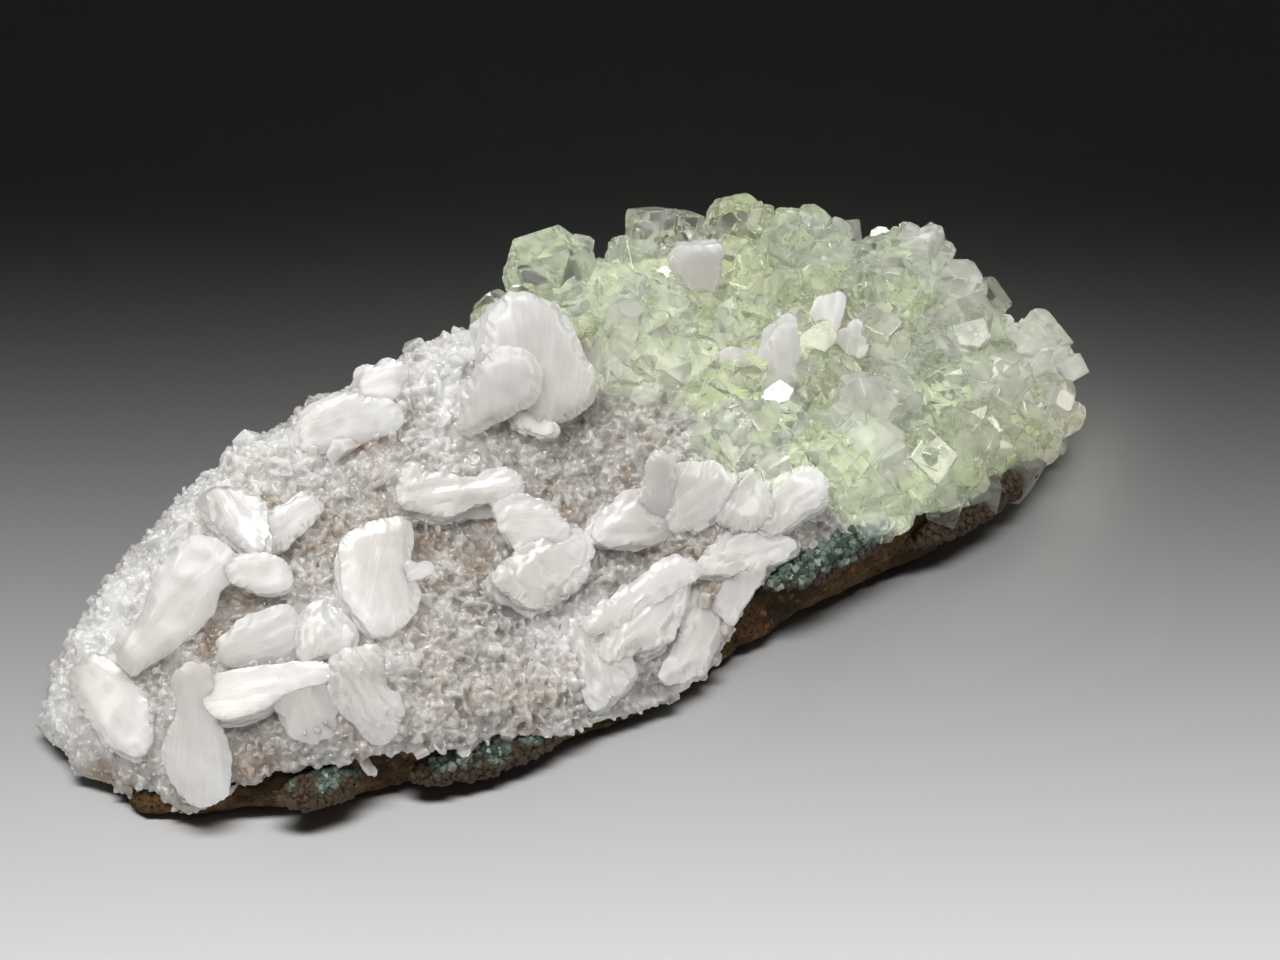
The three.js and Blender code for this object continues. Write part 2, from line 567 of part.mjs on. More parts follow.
// What lies under the table is cut away, which leaves the flat patch that the specimen stands on.
function aboveTable(solid) {
  const table = new THREE.BoxGeometry(...TABLE).translate(0, 0, -TABLE[2] / 2);
  return largestBody(solid.subtract(solidOf(table)));
}

const wholeRock = loft(rockRings());
const crustOuter = loft(crustRings());
const crustClearance = grown(crustOuter, SEAT_GAP);
const rockClearance = grown(wholeRock, SEAT_GAP);

addPiece("basalt_matrix", "basalt", aboveTable(wholeRock));
addPiece("druse_crust", "druse", aboveTable(crustOuter.subtract(rockClearance)));
addGrowth(SHEAVES, "stilbite", blade);
addGrowth(CRYSTALS, "apophyllite", crystal);
for (const [name, spec] of Object.entries(RINDS)) {
  const patch = rind(spec).subtract(rockClearance).subtract(crustClearance);
  const fitted = taken.reduce((left, other) => left.subtract(other), patch);
  addPiece(name, "celadonite", largestBody(fitted));
}

// The origin stands under the middle of the specimen, on the surface that it rests on.
const box = new THREE.Box3().setFromObject(specimen);
specimen.position.set(-(box.min.x + box.max.x) / 2, -(box.min.y + box.max.y) / 2, -box.min.z);

export default specimen;
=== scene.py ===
"""A hand specimen of green apophyllite and white stilbite on a druse-covered plate of basalt."""
from collections import namedtuple
import json
import math

import bpy
import bmesh
import numpy as np
from mathutils import Matrix, Vector
from mathutils.bvhtree import BVHTree
from mathutils.kdtree import KDTree

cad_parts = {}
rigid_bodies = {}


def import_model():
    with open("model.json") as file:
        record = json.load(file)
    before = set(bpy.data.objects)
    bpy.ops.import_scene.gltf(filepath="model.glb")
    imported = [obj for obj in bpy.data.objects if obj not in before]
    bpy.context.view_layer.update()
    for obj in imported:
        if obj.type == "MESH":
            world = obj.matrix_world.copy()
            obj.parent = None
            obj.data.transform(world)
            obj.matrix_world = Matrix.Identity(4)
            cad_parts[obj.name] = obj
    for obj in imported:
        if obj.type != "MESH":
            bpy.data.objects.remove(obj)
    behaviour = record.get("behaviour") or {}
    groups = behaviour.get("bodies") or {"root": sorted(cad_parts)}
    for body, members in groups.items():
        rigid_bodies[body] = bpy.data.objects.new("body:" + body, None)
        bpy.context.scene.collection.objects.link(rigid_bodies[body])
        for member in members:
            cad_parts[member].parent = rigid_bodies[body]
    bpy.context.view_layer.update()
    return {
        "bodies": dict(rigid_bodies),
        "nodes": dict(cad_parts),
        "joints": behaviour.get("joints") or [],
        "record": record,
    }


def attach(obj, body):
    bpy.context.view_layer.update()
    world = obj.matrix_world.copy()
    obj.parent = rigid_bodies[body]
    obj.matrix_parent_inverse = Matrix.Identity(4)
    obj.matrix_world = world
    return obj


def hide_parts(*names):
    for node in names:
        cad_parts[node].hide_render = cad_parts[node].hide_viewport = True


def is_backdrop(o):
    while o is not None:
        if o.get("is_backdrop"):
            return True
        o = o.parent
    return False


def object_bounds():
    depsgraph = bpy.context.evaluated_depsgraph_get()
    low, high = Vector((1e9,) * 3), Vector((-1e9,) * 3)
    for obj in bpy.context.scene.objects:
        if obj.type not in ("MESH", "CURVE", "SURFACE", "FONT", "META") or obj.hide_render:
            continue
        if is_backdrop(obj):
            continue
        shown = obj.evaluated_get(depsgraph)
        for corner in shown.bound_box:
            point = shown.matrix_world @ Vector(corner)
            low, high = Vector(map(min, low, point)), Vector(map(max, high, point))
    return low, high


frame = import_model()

MM = 0.001
NODES = frame["nodes"]
ABOVE_GROUND = 0.05 * MM  # grains and crystals stay this much above the ground
# The lists below are in millimetres from the plate's own zero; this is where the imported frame's zero is.
PLATE_ZERO = np.array([0.75, 0.286, 0.0])

# The camera stands DISTANCE back from TARGET. BACK points from there to it, and ACROSS to its right.
PHOTO_WIDTH, PHOTO_HEIGHT = 1280, 960
AZIMUTH, ELEVATION, DISTANCE, LENS = math.radians(-35), math.radians(38), 0.502, 92
TARGET = np.array([0.01075, -0.00029, 0.0146])
BACK = np.array([math.sin(AZIMUTH) * math.cos(ELEVATION), -math.cos(AZIMUTH) * math.cos(ELEVATION),
                 math.sin(ELEVATION)])
ACROSS = np.array([math.cos(AZIMUTH), math.sin(AZIMUTH), 0])
# Where the lamp behind the specimen stands. The druse's bright single plates are turned to mirror it.
BACK_LAMP = (0.16, 0.36, 0.56)


def place(points):
    """Plate millimetres to the frame's metres."""
    return (np.asarray(points, float) - PLATE_ZERO) * MM


def plate(points):
    """The frame's metres to plate millimetres."""
    return np.asarray(points, float) / MM + PLATE_ZERO


def unit(vectors):
    """Vectors made 1 long."""
    vectors = np.asarray(vectors, float)
    return vectors / np.linalg.norm(vectors, axis=-1, keepdims=True)


# ---- noise ----

# Large odd numbers that scramble a cell's place, as hash functions use them.
MIXERS = np.array([374761393, 668265263, 2246822519, 3266489917, 2654435761], np.uint64)
LOW_32_BITS = np.uint64(0xFFFFFFFF)
LOW_10_BITS = np.uint64(1023)


def lattice(cell, seed):
    """Three numbers from -1 to 1 for each cell of a grid."""
    h = (cell.astype(np.uint64) * MIXERS[:3]).sum(1)
    h = (h + np.uint64(seed) * MIXERS[3]) & LOW_32_BITS
    h = ((h ^ (h >> np.uint64(15))) * MIXERS[4]) & LOW_32_BITS
    h = ((h ^ (h >> np.uint64(13))) * MIXERS[3]) & LOW_32_BITS
    h = h ^ (h >> np.uint64(16))
    parts = [(h >> np.uint64(shift)) & LOW_10_BITS for shift in (0, 10, 20)]
    return np.stack(parts, 1).astype(float) * 2 / float(LOW_10_BITS) - 1.0


def noise(points, size, seed, octaves=1):
    """Smooth noise of about -1 to 1 at points in metres. size is a bump's width in millimetres."""
    total, weight = np.zeros(len(points)), 1.0
    for octave in range(octaves):
        q = np.asarray(points) / (size * MM) + 1000.0
        cell = np.floor(q).astype(np.int64)
        f = q - cell
        fade = f * f * f * (f * (f * 6 - 15) + 10)
        for corner in np.ndindex(2, 2, 2):
            c = np.array(corner)
            share = np.prod(np.where(c, fade, 1 - fade), axis=1)
            slope = lattice(cell + c, seed + 17 * octave)
            total += weight * share * np.einsum("ij,ij->i", slope, f - c) * 1.4
        size, weight = size / 2.1, weight * 0.5
    return total


def smoothstep(low, high, value):
    t = np.clip((value - low) / (high - low), 0, 1)
    return t * t * (3 - 2 * t)


# ---- meshes ----

def new_object(name, data):
    """An object in the scene."""
    made = bpy.data.objects.new(name, data)
    bpy.context.scene.collection.objects.link(made)
    return made


def mesh_object(name, points, faces, values=None, smooth=False):
    """An object from triangles. values are named numbers, or vectors, for each point."""
    mesh = bpy.data.meshes.new(name)
    mesh.vertices.add(len(points))
    mesh.vertices.foreach_set("co", np.asarray(points, np.float32).ravel())
    mesh.loops.add(3 * len(faces))
    mesh.loops.foreach_set("vertex_index", np.asarray(faces, np.int32).ravel())
    mesh.polygons.add(len(faces))
    mesh.polygons.foreach_set("loop_start", np.arange(0, 3 * len(faces), 3, dtype=np.int32))
    mesh.update(calc_edges=True)
    mesh.polygons.foreach_set("use_smooth", np.full(len(faces), smooth))
    for key, value in (values or {}).items():
        value = np.asarray(value, np.float32)
        kind, slot = ("FLOAT", "value") if value.ndim == 1 else ("FLOAT_VECTOR", "vector")
        mesh.attributes.new(key, kind, "POINT").data.foreach_set(slot, value.ravel())
    return new_object(name, mesh)


def triples(items, name, kind=np.float32):
    """The three numbers of that name that each of a mesh's items holds."""
    values = np.empty(3 * len(items), kind)
    items.foreach_get(name, values)
    return values.reshape(-1, 3)


def arrays(mesh):
    """A mesh's points, its triangles and its points' normals."""
    mesh.calc_loop_triangles()
    return (triples(mesh.vertices, "co").astype(float), triples(mesh.loop_triangles, "vertices", np.int32),
            triples(mesh.vertex_normals, "vector").astype(float))


def changed(mesh, kind, **settings):
    """A copy of a mesh with one modifier applied."""
    helper = new_object("helper", mesh)
    modifier = helper.modifiers.new("change", kind)
    for key, value in settings.items():
        setattr(modifier, key, value)
    graph = bpy.context.evaluated_depsgraph_get()
    made = bpy.data.meshes.new_from_object(helper.evaluated_get(graph))
    bpy.data.objects.remove(helper)
    return made


def skinned(source, voxel, rounds=0, limit=0):
    """One closed skin round a mesh, of faces about voxel millimetres wide, smoothed a number of rounds.

    A skin with a limit has its points on the source again, so its flat faces stay flat and its edges sharp,
    and it keeps no more triangles than that, the rest going where it is flattest.
    """
    mesh = changed(source, "REMESH", mode="VOXEL", voxel_size=voxel * MM)
    if rounds:
        mesh = changed(mesh, "SMOOTH", factor=0.5, iterations=rounds)
    if limit:
        tree = tree_of(source)
        points = [tree.find_nearest(point)[0] for point in arrays(mesh)[0].tolist()]
        mesh.vertices.foreach_set("co", np.array(points, np.float32).ravel())
        mesh.update()
        mesh = changed(mesh, "DECIMATE", ratio=min(1, limit / (2 * len(mesh.polygons))))
    return arrays(mesh)


def united(solids):
    """One solid mesh from closed (points, triangles) that grow through each other."""
    stock = bpy.data.collections.new("stock")
    bpy.context.scene.collection.children.link(stock)
    made = [mesh_object("solid", points, faces) for points, faces in solids]
    for other in made[1:]:
        bpy.context.scene.collection.objects.unlink(other)
        stock.objects.link(other)
    union = made[0].modifiers.new("union", "BOOLEAN")
    union.operation, union.operand_type, union.solver = "UNION", "COLLECTION", "MANIFOLD"
    union.collection = stock
    graph = bpy.context.evaluated_depsgraph_get()
    mesh = bpy.data.meshes.new_from_object(made[0].evaluated_get(graph))
    for each in made:
        bpy.data.meshes.remove(each.data)
    bpy.data.collections.remove(stock)
    return mesh


def tree_of(*meshes):
    """A search tree over the triangles of some meshes."""
    points, faces, _ = joined([(*arrays(mesh)[:2], {}) for mesh in meshes])
    return BVHTree.FromPolygons(points.tolist(), faces.tolist())


def inside(tree, point):
    """True if a point lies within closed meshes: a line going up leaves them once more than it enters."""
    up, start, left = Vector((0, 0, 1)), Vector(point), 0
    hit, normal, _, _ = tree.ray_cast(start, up)
    while hit is not None:
        left += 1 if normal.z > 0 else -1
        hit, normal, _, _ = tree.ray_cast(hit + 0.001 * MM * up, up)
    return left > 0


def joined(parts):
    """Several (points, faces, values) as one."""
    points, faces, values, start = [], [], {}, 0
    for co, tris, extra in parts:
        points.append(co)
        faces.append(tris + start)
        start += len(co)
        for key, value in extra.items():
            values.setdefault(key, []).append(value)
    return (np.concatenate(points), np.concatenate(faces),
            {key: np.concatenate(value) for key, value in values.items()})


# ---- looks ----

class Look:
    """A material, built up one node at a time."""

    def __init__(self, name, **constants):
        self.material = bpy.data.materials.new(name)
        self.material.use_nodes = True
        self.tree = self.material.node_tree
        self.shader = self.tree.nodes["Principled BSDF"]
        self.output = self.tree.nodes["Material Output"]
        self.set(**constants)

    def node(self, kind, settings=None, **inputs):
        made = self.tree.nodes.new("ShaderNode" + kind)
        for key, value in (settings or {}).items():
            setattr(made, key, value)
        for key, value in inputs.items():
            self.feed(made.inputs[key.replace("_", " ")], value)
        return made

    def feed(self, socket, value):
        if isinstance(value, bpy.types.NodeSocket):
            self.tree.links.new(value, socket)
        else:
            socket.default_value = value

    def set(self, **inputs):
        for key, value in inputs.items():
            self.feed(self.shader.inputs[key.replace("_", " ")], value)

    def here(self):
        """Place in metres in the frame."""
        return self.node("TexCoord").outputs["Object"]

    def noise(self, size, detail=2.0, roughness=0.5):
        """Noise whose features are size millimetres wide."""
        made = self.node("TexNoise", Vector=self.here(), Scale=1 / (size * MM), Detail=detail,
                         Roughness=roughness)
        return made.outputs["Fac"]

    def cells(self, size):
        """How far each place is from the middle of its cell. The cells are size millimetres wide."""
        return self.node("TexVoronoi", Vector=self.here(), Scale=1 / (size * MM)).outputs["Distance"]

    def value(self, name, output="Fac"):
        """A number, or a vector, that the mesh's points carry."""
        return self.node("Attribute", {"attribute_name": name}).outputs[output]

    def ramp(self, fac, *stops):
        """Colours, or grey levels, at places along a value."""
        made = self.node("ValToRGB", Fac=fac)
        elements = made.color_ramp.elements
        while len(elements) < len(stops):
            elements.new(0.5)
        for element, (at, colour) in zip(elements, stops):
            element.position = at
            element.color = (*((colour,) * 3 if isinstance(colour, (int, float)) else colour), 1)
        return made.outputs["Color"]

    def mix(self, fac, a, b, blend="MIX"):
        made = self.node("Mix", {"data_type": "RGBA", "blend_type": blend})
        for socket, value in ((made.inputs[0], fac), (made.inputs[6], a), (made.inputs[7], b)):
            if isinstance(value, tuple) and len(value) == 3:
                value = (*value, 1)
            self.feed(socket, value)
        return made.outputs[2]

    def product(self, kind, a, b):
        """Two values, or two vectors, multiplied."""
        made = self.node(kind, {"operation": "MULTIPLY"})
        self.feed(made.inputs[0], a)
        self.feed(made.inputs[1], b)
        return made.outputs[0]

    def bump(self, height, depth, strength=1.0):
        """Relief of depth millimetres."""
        made = self.node("Bump", Strength=strength, Distance=depth * MM, Height=height)
        self.set(Normal=made.outputs["Normal"])

    def pass_lamps(self, colour):
        """Lets lamps light what lies behind the surface, tinted."""
        shadow = self.node("LightPath").outputs["Is Shadow Ray"]
        through = self.node("BsdfTransparent", Color=(*colour, 1))
        chosen = self.node("MixShader")
        for socket, value in zip(chosen.inputs, (shadow, self.shader.outputs[0], through.outputs[0])):
            self.feed(socket, value)
        self.feed(self.output.inputs["Surface"], chosen.outputs[0])

    def absorb(self, colour, density):
        """Tints what light loses inside."""
        volume = self.node("VolumeAbsorption", Density=density, Color=(*colour, 1))
        self.feed(self.output.inputs["Volume"], volume.outputs[0])


def basalt_look():
    look = Look("basalt_look", Roughness=0.8, Specular_IOR_Level=0.15)
    patches = look.noise(9, 4, 0.6)
    colour = look.ramp(patches, (0.32, (0.014, 0.009, 0.005)), (0.48, (0.055, 0.031, 0.012)),
                       (0.6, (0.11, 0.062, 0.024)), (0.74, (0.21, 0.12, 0.047)))
    specks = look.ramp(look.noise(0.55, 2), (0.5, 0.0), (0.66, 1.0))
    colour = look.mix(specks, colour, (0.014, 0.010, 0.009))
    rust = look.ramp(look.noise(1.6, 3), (0.6, 0.0), (0.7, 1.0))
    colour = look.mix(look.product("Math", rust, 0.7), colour, (0.33, 0.15, 0.035))
    look.set(Base_Color=colour, Roughness=look.ramp(look.noise(0.8, 2), (0.3, 0.55), (0.7, 0.95)))
    look.bump(look.noise(0.5, 3, 0.7), 0.5, 0.8)
    return look.material


def celadonite_look():
    """Dull green crumbs over brown rock."""
    look = Look("celadonite_look", Roughness=0.6, Specular_IOR_Level=0.4)
    colour = look.ramp(look.value("grain"), (0.0, (0.028, 0.038, 0.028)), (0.4, (0.08, 0.12, 0.095)),
                       (0.8, (0.17, 0.23, 0.185)), (1.0, (0.38, 0.45, 0.38)))
    look.set(Base_Color=look.mix(look.value("bare"), colour, (0.055, 0.034, 0.018)))
    look.bump(look.noise(0.4, 2), 0.15)
    return look.material


def druse_look():
    look = Look("druse_look", IOR=1.5, Subsurface_Weight=1.0, Subsurface_Scale=0.003,
                Subsurface_Radius=(1.0, 0.95, 0.9))
    colour = look.ramp(look.noise(3, 4, 0.6), (0.32, (0.29, 0.275, 0.255)), (0.5, (0.43, 0.415, 0.395)),
                       (0.68, (0.60, 0.59, 0.575)))
    colour = look.mix(look.value("milky"), colour, (0.73, 0.73, 0.73))
    patches = look.ramp(look.noise(9, 4, 0.6), (0.52, 0.0), (0.70, 0.6))
    colour = look.mix(patches, colour, (0.42, 0.355, 0.30))
    colour = look.mix(look.product("Math", look.value("stain"), 0.85), colour, (0.28, 0.20, 0.135))
    colour = look.mix(look.value("green"), colour, (0.60, 0.64, 0.50))
    look.set(Base_Color=look.mix(look.value("pink"), colour, (0.60, 0.49, 0.42)),
             Roughness=look.ramp(look.noise(1.1, 2), (0.35, 0.02), (0.65, 0.16)))
    look.bump(look.cells(0.45), 0.12, 0.5)
    return look.material


def stilbite_look():
    look = Look("stilbite_look", Roughness=0.38, IOR=1.5, Subsurface_Weight=1.0,
                Subsurface_Scale=0.003, Subsurface_Radius=(1.0, 0.93, 0.85), Transmission_Weight=0.3,
                Coat_Weight=0.15, Coat_Roughness=0.2)
    colour = look.ramp(look.noise(6, 3), (0.3, (0.71, 0.70, 0.69)), (0.55, (0.77, 0.765, 0.76)),
                       (0.75, (0.83, 0.83, 0.83)))
    root = look.ramp(look.value("root"), (0.0, 0.0), (1.0, 0.55))
    # Fine lines across the fibres, and long ones along them.
    fibre = look.product("VectorMath", look.value("fibre", "Vector"), (3.0, 0.22, 1.0))
    lines = look.node("TexNoise", Vector=fibre, Scale=1.0, Detail=3.0, Roughness=0.6).outputs["Fac"]
    streaks = look.ramp(lines, (0.35, 0.93), (0.65, 1.0))
    colour = look.mix(root, colour, (0.60, 0.565, 0.52))
    look.set(Base_Color=look.mix(1.0, colour, streaks, "MULTIPLY"),
             Roughness=look.ramp(lines, (0.35, 0.28), (0.65, 0.52)))
    look.bump(lines, 0.07, 0.7)
    look.pass_lamps((0.62, 0.61, 0.60))
    return look.material


def apophyllite_look(name, base, absorbed, density, clear, rough):
    """Clear crystal, with white veils and frosted patches."""
    look = Look(name, IOR=1.535, Subsurface_Weight=0.9, Subsurface_Scale=0.0025,
                Subsurface_Radius=(1.0, 1.0, 1.0))
    veils = look.noise(3, 5, 0.65)
    colour = look.ramp(veils, (0.40, base), (0.62, (0.95, 0.96, 0.94)))
    look.set(Base_Color=look.mix(look.product("Math", look.value("frost"), 0.5), colour, (0.94, 0.95, 0.92)))
    etched = look.ramp(look.noise(2.2, 4, 0.6), (0.40, rough[0]), (0.62, rough[1]))
    cloudy = look.ramp(look.noise(5, 2), (0.45, clear), (0.60, 0.88 * clear))
    look.set(Roughness=etched, Transmission_Weight=cloudy)
    look.bump(look.noise(0.9, 3, 0.6), 0.025, 0.5)
    look.pass_lamps((0.70, 0.71, 0.68))
    look.absorb(absorbed, density)
    return look.material


BASALT = basalt_look()
CELADONITE = celadonite_look()
DRUSE = druse_look()
STILBITE = stilbite_look()
# Colour of the surface, colour and density of the absorption, clearness, and roughness of clean and of
# etched faces.
GREENS = {
    "mint": ((0.90, 0.93, 0.88), (0.82, 0.92, 0.65), 25, 0.92, (0.01, 0.08)),
    "leaf": ((0.90, 0.93, 0.83), (0.84, 0.91, 0.50), 31, 0.93, (0.01, 0.08)),
    "grey": ((0.90, 0.92, 0.87), (0.85, 0.91, 0.60), 21, 0.90, (0.01, 0.10)),
    "clear": ((0.93, 0.94, 0.92), (0.86, 0.92, 0.68), 17, 0.95, (0.0, 0.04)),
    "frosted": ((0.92, 0.93, 0.91), (0.86, 0.91, 0.65), 15, 0.82, (0.05, 0.25)),
}
GREENS = {tint: apophyllite_look(tint + "_look", *values) for tint, values in GREENS.items()}


def finished(piece, look, replaced=()):
    """Gives a piece its look and the one body, and hides the nodes that it stands for."""
    piece.data.materials.append(look)
    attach(piece, "root")
    if replaced:
        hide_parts(*replaced)
    return piece


# ---- basalt and crust ----

def green_share(points):
    """0 where the crust carries colourless druse, 1 where it carries apophyllite."""
    x, y, _ = plate(points).T
    west = 7 + (25 - y) * 0.34 + 2.5 * noise(points, 9, 5)
    return smoothstep(-3, 3, x - west)


points, faces, normals = skinned(NODES["basalt_matrix"].data, 1.05, 1)
relief = 0.55 * noise(points, 7, 3, 2) + 0.35 * noise(points, 1.6, 4, 2)
relief -= 0.8 * smoothstep(0.25, 0.6, noise(points, 2.6, 9))
points = points + normals * (relief * MM * smoothstep(0.0, 1.5, plate(points)[:, 2]))[:, None]
points[:, 2] = np.maximum(points[:, 2], 0)
finished(mesh_object("rock", points, faces, smooth=True), BASALT, ["basalt_matrix"])

points, faces, normals = skinned(NODES["druse_crust"].data, 0.8, 2)
relief = 1.1 * noise(points, 7, 21, 2) + 0.3 * noise(points, 1.5, 22) - 0.5
blades_tree = tree_of(*[node.data for name, node in NODES.items() if name.startswith("stilbite_")])
open_ground = smoothstep(0.5, 4, np.array([blades_tree.find_nearest(p)[3] for p in points.tolist()]) / MM)
relief = open_ground * relief - 0.4 * (1 - open_ground)
points = points + normals * (relief * MM)[:, None]
points[:, 2] = np.maximum(points[:, 2], 0.1 * MM)
crust = mesh_object("crust", points, faces)

ROCK_TREE = tree_of(NODES["basalt_matrix"].data)
CRUST_TREE = tree_of(crust.data)


# ---- grains ----

SIGNS = [(-1, -1), (-1, 1), (1, -1), (1, 1)]
SIDES = [(1, 0), (-1, 0), (0, 1), (0, -1)]
SIXTHS = np.arange(6) * math.pi / 3
BEVEL = 0.02  # how much the edges of an apophyllite crystal are cut, as a share of its height


def hull(corners, bevel=0):
    """The closed shape that wraps some points, as points and triangles. Its edges may be cut."""
    shape = bmesh.new()
    for corner in corners:
        shape.verts.new(corner)
    wrapped = bmesh.ops.convex_hull(shape, input=shape.verts)
    if bevel:
        bmesh.ops.dissolve_limit(shape, angle_limit=0.05, verts=shape.verts, edges=shape.edges)
        bmesh.ops.bevel(shape, geom=shape.edges[:], offset=bevel, segments=1, affect="EDGES")
    else:
        spare = set(wrapped["geom_interior"] + wrapped["geom_unused"])
        spare = [v for v in spare if isinstance(v, bmesh.types.BMVert)]
        bmesh.ops.delete(shape, geom=spare, context="VERTS")
    bmesh.ops.triangulate(shape, faces=shape.faces)
    bmesh.ops.recalc_face_normals(shape, faces=shape.faces)
    shape.verts.index_update()
    co = np.array([v.co for v in shape.verts])
    tris = np.array([[v.index for v in f.verts] for f in shape.faces])
    shape.free()
    return co, tris


def corners_at(places, wide, deep, *heights):
    """Some places, widened and deepened, at each of some heights."""
    return [(x * wide, y * deep, z) for x, y in places for z in heights]


def block(rng):
    """A square crystal with its upper corners cut. It stands on z = 0 and is 1 tall."""
    half = rng.uniform(0.38, 0.55, 2)
    shoulder = rng.uniform(0.5, 0.85)
    top = rng.uniform(0.05, 0.7)
    corners = corners_at(SIGNS, *half, 0, shoulder) + corners_at(SIGNS, *half * top, 1)
    return hull(np.array(corners) + rng.uniform(-0.05, 0.05, (len(corners), 3)))


def prism(rng):
    """A six-sided crystal with a roof."""
    squash = rng.uniform(0.6, 1.0)
    turn = [(math.cos(a), math.sin(a) * squash) for a in SIXTHS]
    shoulder = rng.uniform(0.55, 0.8)
    corners = [(0.42 * x, 0.42 * y, z) for x, y in turn for z in (0, shoulder + 0.08 * x)]
    corners += [(-0.12, 0, 0.95), (0.14, 0, 1)]
    return hull(np.array(corners) + rng.uniform(-0.03, 0.03, (len(corners), 3)))


def lath(rng):
    """A thin blade with a slanting end."""
    wide, thick = rng.uniform(0.13, 0.26), rng.uniform(0.05, 0.1)
    tip = rng.uniform(0.2, 0.7)
    corners = corners_at(SIGNS, wide, thick, 0)
    corners += [(sx * wide * 1.1, sy * thick * 0.8, 0.82 + 0.1 * sx * rng.uniform(0, 1))
                for sx, sy in SIGNS]
    corners += [(-wide * tip, 0, 1), (wide * tip, 0, 1)]
    return hull(np.array(corners))


def flake(rng):
    """A thin six-sided plate that stands on its edge."""
    ring = [(0.45 * math.cos(a), 0.5 + 0.5 * math.sin(a)) for a in SIXTHS + 0.3]
    thick = rng.uniform(0.07, 0.13)
    corners = [(x, s * thick, z) for x, z in ring for s in (-1, 1)]
    return hull(np.array(corners) + rng.uniform(-0.04, 0.04, (len(corners), 3)))


def strewn(shapes, where, up, sizes, stretch, tilt, rng):
    """One copy of a shape at each place, standing along up, tilted and turned, as joined arrays."""
    count = len(where)
    lean = unit(up + tilt * rng.normal(0, 1, (count, 3)))
    side = unit(np.cross(lean, rng.normal(0, 1, (count, 3))))
    frames = np.stack([side, np.cross(lean, side), lean], 2)
    kind = rng.integers(0, len(shapes), count)
    random = rng.random(count)
    parts = []
    for k, (co, tris) in enumerate(shapes):
        rows = np.nonzero(kind == k)[0]
        scaled = co[None] * (sizes[rows][:, None, None] * stretch[rows][:, None, :])
        placed = np.einsum("nij,nvj->nvi", frames[rows], scaled) + where[rows][:, None]
        tri = tris[None] + (np.arange(len(rows)) * len(co))[:, None, None]
        parts.append((placed.reshape(-1, 3), tri.reshape(-1, 3), {"grain": np.repeat(random[rows], len(co))}))
    return joined(parts)


def samples(mesh, count, rng):
    """Evenly spread random points on a mesh, with the normals there."""
    co, tris, _ = arrays(mesh)
    a, b, c = (co[tris[:, k]] for k in range(3))
    cross = np.cross(b - a, c - a)
    area = np.linalg.norm(cross, axis=1)
    pick = rng.choice(len(tris), count, p=area / area.sum())
    u, v = rng.random(count), rng.random(count)
    flip = u + v > 1
    u[flip], v[flip] = 1 - u[flip], 1 - v[flip]
    return (a[pick] + u[:, None] * (b - a)[pick] + v[:, None] * (c - a)[pick],
            cross[pick] / area[pick][:, None])


def spaced(points, gap):
    """Rows of the points that stay at least gap millimetres from each other, taken in order."""
    cell = np.floor(points / (gap * MM)).astype(int)
    taken, kept = {}, []
    limit = (gap * MM) ** 2
    for row in range(len(points)):
        key = tuple(cell[row])
        close = [r for dx in (-1, 0, 1) for dy in (-1, 0, 1) for dz in (-1, 0, 1)
                 for r in taken.get((key[0] + dx, key[1] + dy, key[2] + dz), ())]
        if close and (((points[close] - points[row]) ** 2).sum(1) < limit).any():
            continue
        taken.setdefault(key, []).append(row)
        kept.append(row)
    return np.array(kept)


# ---- stilbite ----

